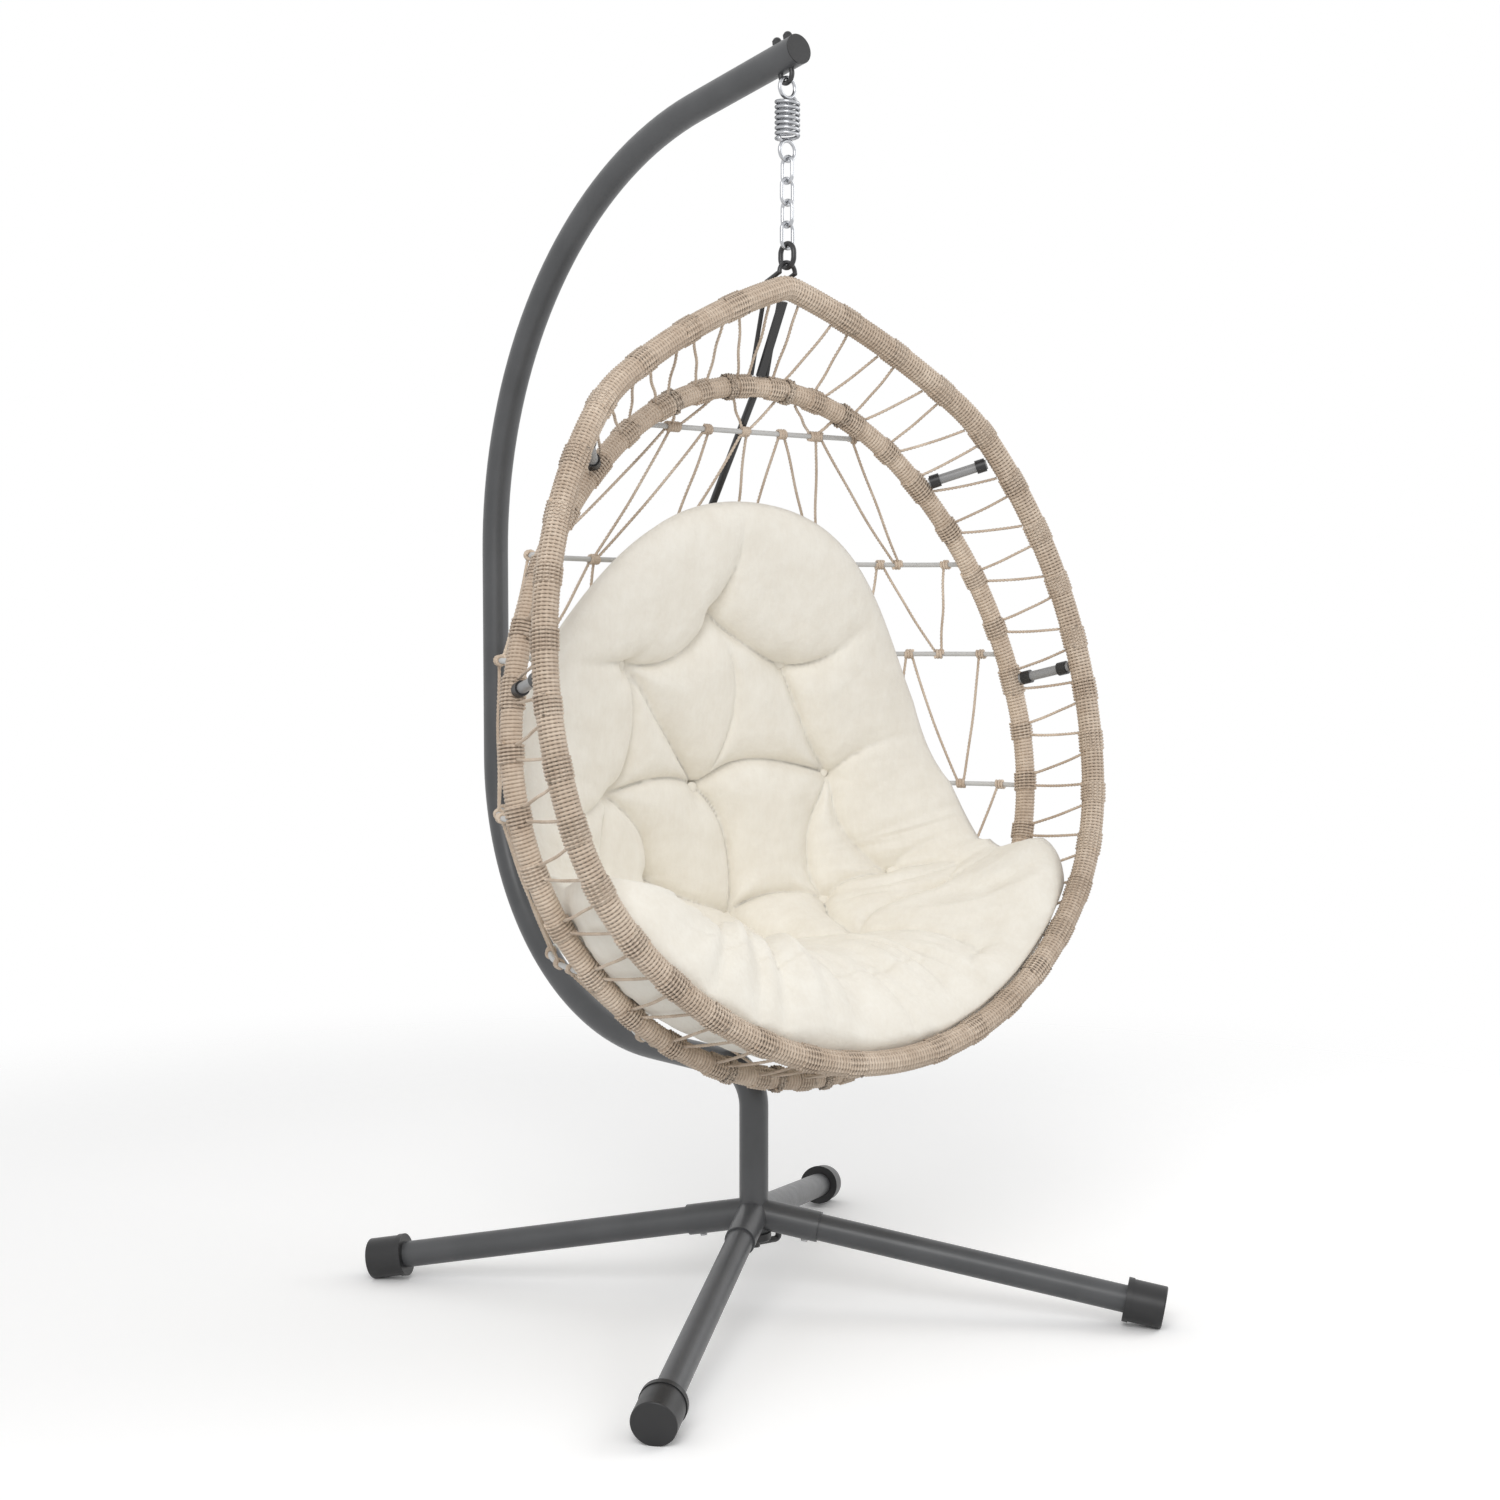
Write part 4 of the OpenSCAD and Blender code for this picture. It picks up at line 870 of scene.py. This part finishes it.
# Each crease: its two ends, how far it bows to its left, and how deep it is at either end.
creases = [
    (16, 0, 0.1, 0.016, 0.05), (0, 1, -0.05, 0.05, 0.05), (0, 2, 0.18, 0.05, 0.045),
    (1, 17, -0.12, 0.05, 0.012), (1, 3, 0.0, 0.05, 0.05), (2, 4, 0.0, 0.04, 0.045),
    (2, 5, 0.15, 0.045, 0.04), (5, 4, 0.12, 0.04, 0.045), (4, 3, 0.15, 0.045, 0.05),
    (0, 4, 0.2, 0.02, 0.022), (4, 8, 0.15, 0.045, 0.045), (5, 9, 0.1, 0.04, 0.045),
    (3, 18, 0.06, 0.05, 0.012), (3, 7, -0.08, 0.045, 0.04), (3, 6, -0.05, 0.045, 0.045),
    (6, 19, 0.15, 0.045, 0.012), (7, 6, 0.1, 0.04, 0.045), (6, 10, 0.2, 0.045, 0.04),
    (8, 7, 0.2, 0.045, 0.04), (7, 11, 0.0, 0.046, 0.04), (8, 12, 0.0, 0.046, 0.04),
    (12, 11, -0.12, 0.042, 0.042), (11, 21, 0.1, 0.042, 0.042), (21, 22, -0.2, 0.042, 0.036),
    (10, 20, 0.1, 0.045, 0.03), (11, 10, 0.15, 0.03, 0.034), (9, 8, -0.05, 0.045, 0.045),
    (9, 13, 0.1, 0.045, 0.04), (5, 24, 0.0, 0.04, 0.012), (2, 23, 0.0, 0.045, 0.012),
    (13, 25, 0.0, 0.04, 0.014), (13, 15, 0.0, 0.035, 0.035), (12, 14, 0.1, 0.04, 0.035),
    (14, 15, 0.1, 0.035, 0.035), (15, 26, 0.0, 0.035, 0.02), (5, 13, -0.1, 0.03, 0.03),
]
flat_half, flat_run = 0.41, (cushion_end(0) - cushion_head) / 2
crease_sway, crease_sharp, crease_soft, crease_ease = 0.01, 0.008, 0.045, 0.62
seat_tuft, front_tuft, tuft_spread = 0.05, 0.034, 0.026
union_power = 5  # how sharply the deepest of two creases wins over the other


def flat(u, v):
    """The front face laid flat, in metres."""
    return np.array((np.asarray(u) * flat_half, np.asarray(v) * flat_run)).T


def bump_at(value, middle, spread):
    """A rounded hump of height 1."""
    return np.exp(-(((value - middle) / spread) ** 2))


def slope(value, low, high):
    """A soft step from 0 at low to 1 at high."""
    t = np.clip((value - low) / (high - low), 0, 1)
    return t * t * (3 - 2 * t)


def quilting(u, v):
    """How far the sewn tufts and the creases between them draw the front face in."""
    spots = flat(u, v)
    spots += [
        [crease_sway * noise.noise((x * 8, y * 8, k)) for k in (1.5, 7.5)] for x, y in spots
    ]
    pulled = np.full(len(spots), 1e-12)
    for first, second, bow, deep_first, deep_second in creases:
        a, b = flat(*crease_ends[first]), flat(*crease_ends[second])
        along = b - a
        aside = np.array((-along[1], along[0]))
        t = np.clip((spots - a) @ along / (along @ along), 0, 1)
        line = a + t[:, None] * along + (4 * bow * t * (1 - t))[:, None] * aside
        off = np.linalg.norm(spots - line, axis=1)
        near_end = crease_ease + (1 - crease_ease) * np.abs(2 * t - 1) ** 1.5
        deep = (deep_first + (deep_second - deep_first) * t) * near_end
        sharp, soft = np.exp(-off / crease_sharp), np.exp(-((off / crease_soft) ** 1.5))
        pulled += (deep * (0.55 * sharp + 0.55 * soft)) ** union_power
    for spot in tufts:
        off = np.linalg.norm(spots - flat(*spot), axis=1)
        deep = seat_tuft if spot[1] > -0.4 else front_tuft
        pulled += (deep * np.exp(-off / tuft_spread)) ** union_power
    return pulled ** (1 / union_power)


roll_at, roll_spread = -0.84, 0.17
roll_high = ([-1, -0.6, -0.3, 0, 0.3, 0.6, 1], [0.035, 0.065, 0.05, 0.03, 0.012, -0.01, 0.0])


def front_roll(u, v):
    """How much the fat roll at the front edge stands up from the seat."""
    return np.interp(u, *roll_high) * bump_at(v, roll_at, roll_spread)


wide_fold, narrow_fold, narrow_share = 0.08, 0.035, 0.35
fold_head, fold_side, fold_front = 0.004, 0.008, 0.036  # each added to the one before


def gathers(q, v, around_edge):
    """Folds gathered into the edge seam, deep across the front roll and slight at the head."""
    folds = []
    for x, y in zip(around_edge, q):
        x += 0.02 * noise.noise((x * 9, y * 4, 3.3))
        wide = (noise.noise((x / wide_fold, y * 1.5, 2.0)) ** 2 + 0.003) ** 0.22
        narrow = (noise.noise((x / narrow_fold, y * 2.5, 9.0)) ** 2 + 0.006) ** 0.27
        folds.append(wide - 0.55 + narrow_share * (narrow - 0.5))
    deep = fold_head + fold_side * slope(-v, -0.5, 0.1) + fold_front * slope(-v, 0.45, 0.8)
    return np.array(folds) * deep * slope(q, 0.5, 0.86)


def cushion_grid(corner_angles, rings):
    """The share q of the way out, u, v and the length round the seam, of rings of points."""
    turns = np.radians(corner_angles)
    c, s = np.cos(turns), np.sin(turns)
    power = np.where(s > 0, 2 / head_corner, 2 / seam_corner)
    reach = (np.abs(c) ** power + np.abs(s) ** power) ** (-1 / power)
    ring_u, ring_v = reach * c, reach * s
    steps = np.hypot(*(flat(ring_u, ring_v) - flat(np.roll(ring_u, 1), np.roll(ring_v, 1))).T)
    q, count = np.repeat(rings, len(turns)), len(rings)
    seam_run = np.tile(np.cumsum(steps), count)
    return q, q * np.tile(ring_u, count), q * np.tile(ring_v, count), seam_run


# Rings of points from the middle of the front face out over the seam to the middle of the back.
around, front_rings, back_rings = 460, 150, 34
angles = np.array([360 * (j + 0.5) / around for j in range(around)])
front_q = np.concatenate([[0.003], (np.arange(1, front_rings) / front_rings) ** 0.85, [1.0]])
back_q = (1 - np.arange(1, back_rings) / back_rings) ** 0.8
q, u, v, around_edge = cushion_grid(angles, np.concatenate([front_q, back_q]))
in_front = np.arange(len(q)) < around * len(front_q)
# The face is flatter and turns down later towards the front edge.
crown = np.sqrt(1 - q ** (3.2 + 4.8 * slope(-v, 0.35, 0.8)))
high = -back_deep * crown
qf, uf, vf = q[in_front], u[in_front], v[in_front]
front_crown = crown[in_front]
sewn_line = bump_at(vf, -0.86 + 0.05 * uf, 0.006) * slope(0.45 - uf, 0, 0.1)
high[in_front] = (
    (front_deep + front_plump) * front_crown
    - quilting(uf, vf) * (1 - qf**6)
    + front_roll(uf, vf) * np.sqrt(front_crown)
    + gathers(qf, vf, around_edge[in_front]) * np.sqrt(front_crown)
    - 0.004 * sewn_line
)
spots = list(zip(u.tolist(), v.tolist()))
middle = np.array([cushion_mid(*spot) for spot in spots])
facing = np.array([cushion_out(*spot) for spot in spots])
points = middle + high[:, None] * facing

# The wings spread over the sides, the left shoulder is full and the front edge hangs a little.
wing_out, wing_forward, shoulder_out, front_down, front_forward = 0.034, 0.05, 0.03, 0.026, 0.012
wing = slope(np.abs(u), 0.5, 1.0) * bump_at(v, -0.12, 0.4)
points[:, 0] += wing_out * np.sign(u) * wing
points[:, 1] -= wing_forward * wing
points[:, 0] -= shoulder_out * slope(-u, 0.4, 1.0) * bump_at(v, 0.68, 0.25)
points[:, 2] -= front_down * slope(-v, 0.7, 1.0) * slope(-np.abs(u), -1.0, -0.6)
points[:, 1] -= front_forward * slope(-v, 0.75, 1.0)

# The wall that holds the cushion: the lacing between the two rings and the nets behind.
wall_steps, net_steps, path_steps = 220, 40, 1400
wall_half, wall_near, ring_clear = 0.0075, 0.09, 0.004  # room for rope, and how far a wall acts
ring_share = 0.999  # just short of the top, where the two sides meet
bowl_centre = Vector((0, hang_y, 0.85))
wall_points, wall_faces = [], []


def add_strip(pairs):
    """Adds to the wall a strip of faces between the two lines that the pairs of points make."""
    for i, pair in enumerate(pairs):
        wall_points.extend(pair)
        k = len(wall_points) - 2
        if i:
            wall_faces.append((k - 2, k, k + 1, k - 1))


def ring_pair(f):
    """The points of the rim and the hoop at the share f of their halves."""
    return [ring.place(f * ring.half_run * ring_share)[0] for ring in (rim, hoop)]


add_strip(ring_pair(2 * i / wall_steps - 1) for i in range(wall_steps + 1))
for pair in zip(net_edges, net_edges[1:]):
    add_strip([edge.edge(i / net_steps)[0] for edge in pair] for i in range(net_steps + 1))
lacing_wall = BVHTree.FromPolygons(wall_points, wall_faces)
ring_paths = []
for ring in (rim, hoop):
    path = KDTree(path_steps)
    for i in range(path_steps):
        path.insert(ring.place(2 * ring.half_run * i / path_steps)[0], i)
    path.balance()
    ring_paths.append((path, ring.radius + ring_clear))


def settled(point):
    """Where the rings and the lacing stop a point of the cushion."""
    point = Vector(point)
    spot, inwards, _, far = lacing_wall.find_nearest(point)
    inwards = inwards if inwards.dot(bowl_centre - spot) > 0 else -inwards
    inside = (point - spot).dot(inwards)
    if far < wall_near and inside < wall_half:
        point += (wall_half - inside) * inwards
    for path, reach in ring_paths:
        spot, _, far = path.find(point)
        if far < reach:
            point = spot + (point - spot) * (reach / far)
    return point


points = [settled(p) for p in points]
points.append(Vector(np.mean([points[j] for j in range(around)], axis=0)))
points.append(Vector(np.mean([points[len(q) - 1 - j] for j in range(around)], axis=0)))
last_row = len(q) - around
faces = [(len(q), (j + 1) % around, j) for j in range(around)]
for a in range(0, last_row, around):
    for j in range(around):
        k = (j + 1) % around
        faces.append((a + j, a + k, a + around + k, a + around + j))
faces += [(len(q) + 1, last_row + j, last_row + (j + 1) % around) for j in range(around)]
cushion_mesh = bpy.data.meshes.new("cushion_pad")
cushion_mesh.from_pydata([tuple(p) for p in points], [], faces)
cushion = bpy.data.objects.new("cushion_pad", cushion_mesh)
scene.collection.objects.link(cushion)
outwards(cushion_mesh)

button_wide, button_thick, button_raised = 0.023, 0.009, 0.002


def button_tree():
    """A covered button at each point of a mesh, facing the way that its attribute says."""
    wanted = [
        ("Width", "NodeSocketFloat"),
        ("Thickness", "NodeSocketFloat"),
        ("Finish", "NodeSocketMaterial"),
    ]
    tree, given = shape_tree("covered_buttons", wanted)
    start = Wire(tree)
    ball = start.node("GeometryNodeMeshUVSphere", {"Segments": 20, "Rings": 12, "Radius": 0.5})
    wide, thick = given["Width"], given["Thickness"]
    size = start.node("ShaderNodeCombineXYZ", {"X": wide, "Y": wide, "Z": thick})
    named = "GeometryNodeInputNamedAttribute"
    facing = start.node(named, {"Name": "facing"}, data_type="FLOAT_VECTOR")
    turned = start.node("FunctionNodeAlignRotationToVector", {"Vector": facing}, axis="Z")
    placed = start.node(
        "GeometryNodeInstanceOnPoints",
        {"Points": given["Mesh"], "Instance": ball, "Rotation": turned, "Scale": size},
    )
    real = start.node("GeometryNodeRealizeInstances", {"Geometry": placed})
    smooth = start.node("GeometryNodeSetShadeSmooth", {"Geometry": real})
    done = start.node("GeometryNodeSetMaterial", {"Geometry": smooth, "Material": given["Finish"]})
    start.node("NodeGroupOutput", {0: done})
    return tree


def covered_buttons(name, finish):
    """One button in each tuft, on the front face of the finished pad, whose points come first."""
    mesh = bpy.data.meshes.new(name + "_places")
    nearest = [int(np.argmin((uf - a) ** 2 + (vf - b) ** 2)) for a, b in tufts]
    mesh.from_pydata([points[i] + button_raised * Vector(facing[i]) for i in nearest], [], [])
    toward = mesh.attributes.new("facing", "FLOAT_VECTOR", "POINT")
    toward.data.foreach_set("vector", facing[nearest].ravel())
    values = {"Width": button_wide, "Thickness": button_thick, "Finish": finish}
    return shaped(name, mesh, button_tree(), values)


def cotton():
    """Off-white cotton with a fine weave, faint slubs and soft small creases, with painted shade
    in the creases' hollows.
    """
    finish, start = blank("cushion_cloth")
    weave = grain(start, 0.0011, 2, rough=0.8)
    slub = grain(start, 0.006, 3, stretch=(1, 1, 0.3))
    creases_and_painted_shade = grain(start, 0.045, 4, rough=0.6)
    # Painted shade: the tone follows the noise of the small creases' bump, so their hollows are
    # darker, over slubs and weave.
    tone = (creases_and_painted_shade * 0.6 + slub * 0.25 + weave * 0.15).kept(0.25, 0.75)
    puckers = bumped(start, creases_and_painted_shade, 0.004, 0.8)
    body = start.node(
        "ShaderNodeBsdfPrincipled",
        {
            "Base Color": tone.blend((0.82, 0.775, 0.685, 1), (0.9, 0.868, 0.79, 1)),
            "Roughness": 0.8 + (weave - 0.5) * 0.2,
            "Sheen Weight": 0.15,
            "Normal": bumped(start, weave, 0.0003, 0.7, under=puckers),
        },
    )
    shown(start, body)
    return finish


cushion_cloth = cotton()
cushion_mesh.materials.append(cushion_cloth)
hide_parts("cushion")
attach(cushion, "cushion")
buttons = covered_buttons("cushion_buttons", cushion_cloth)
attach(buttons, "cushion")
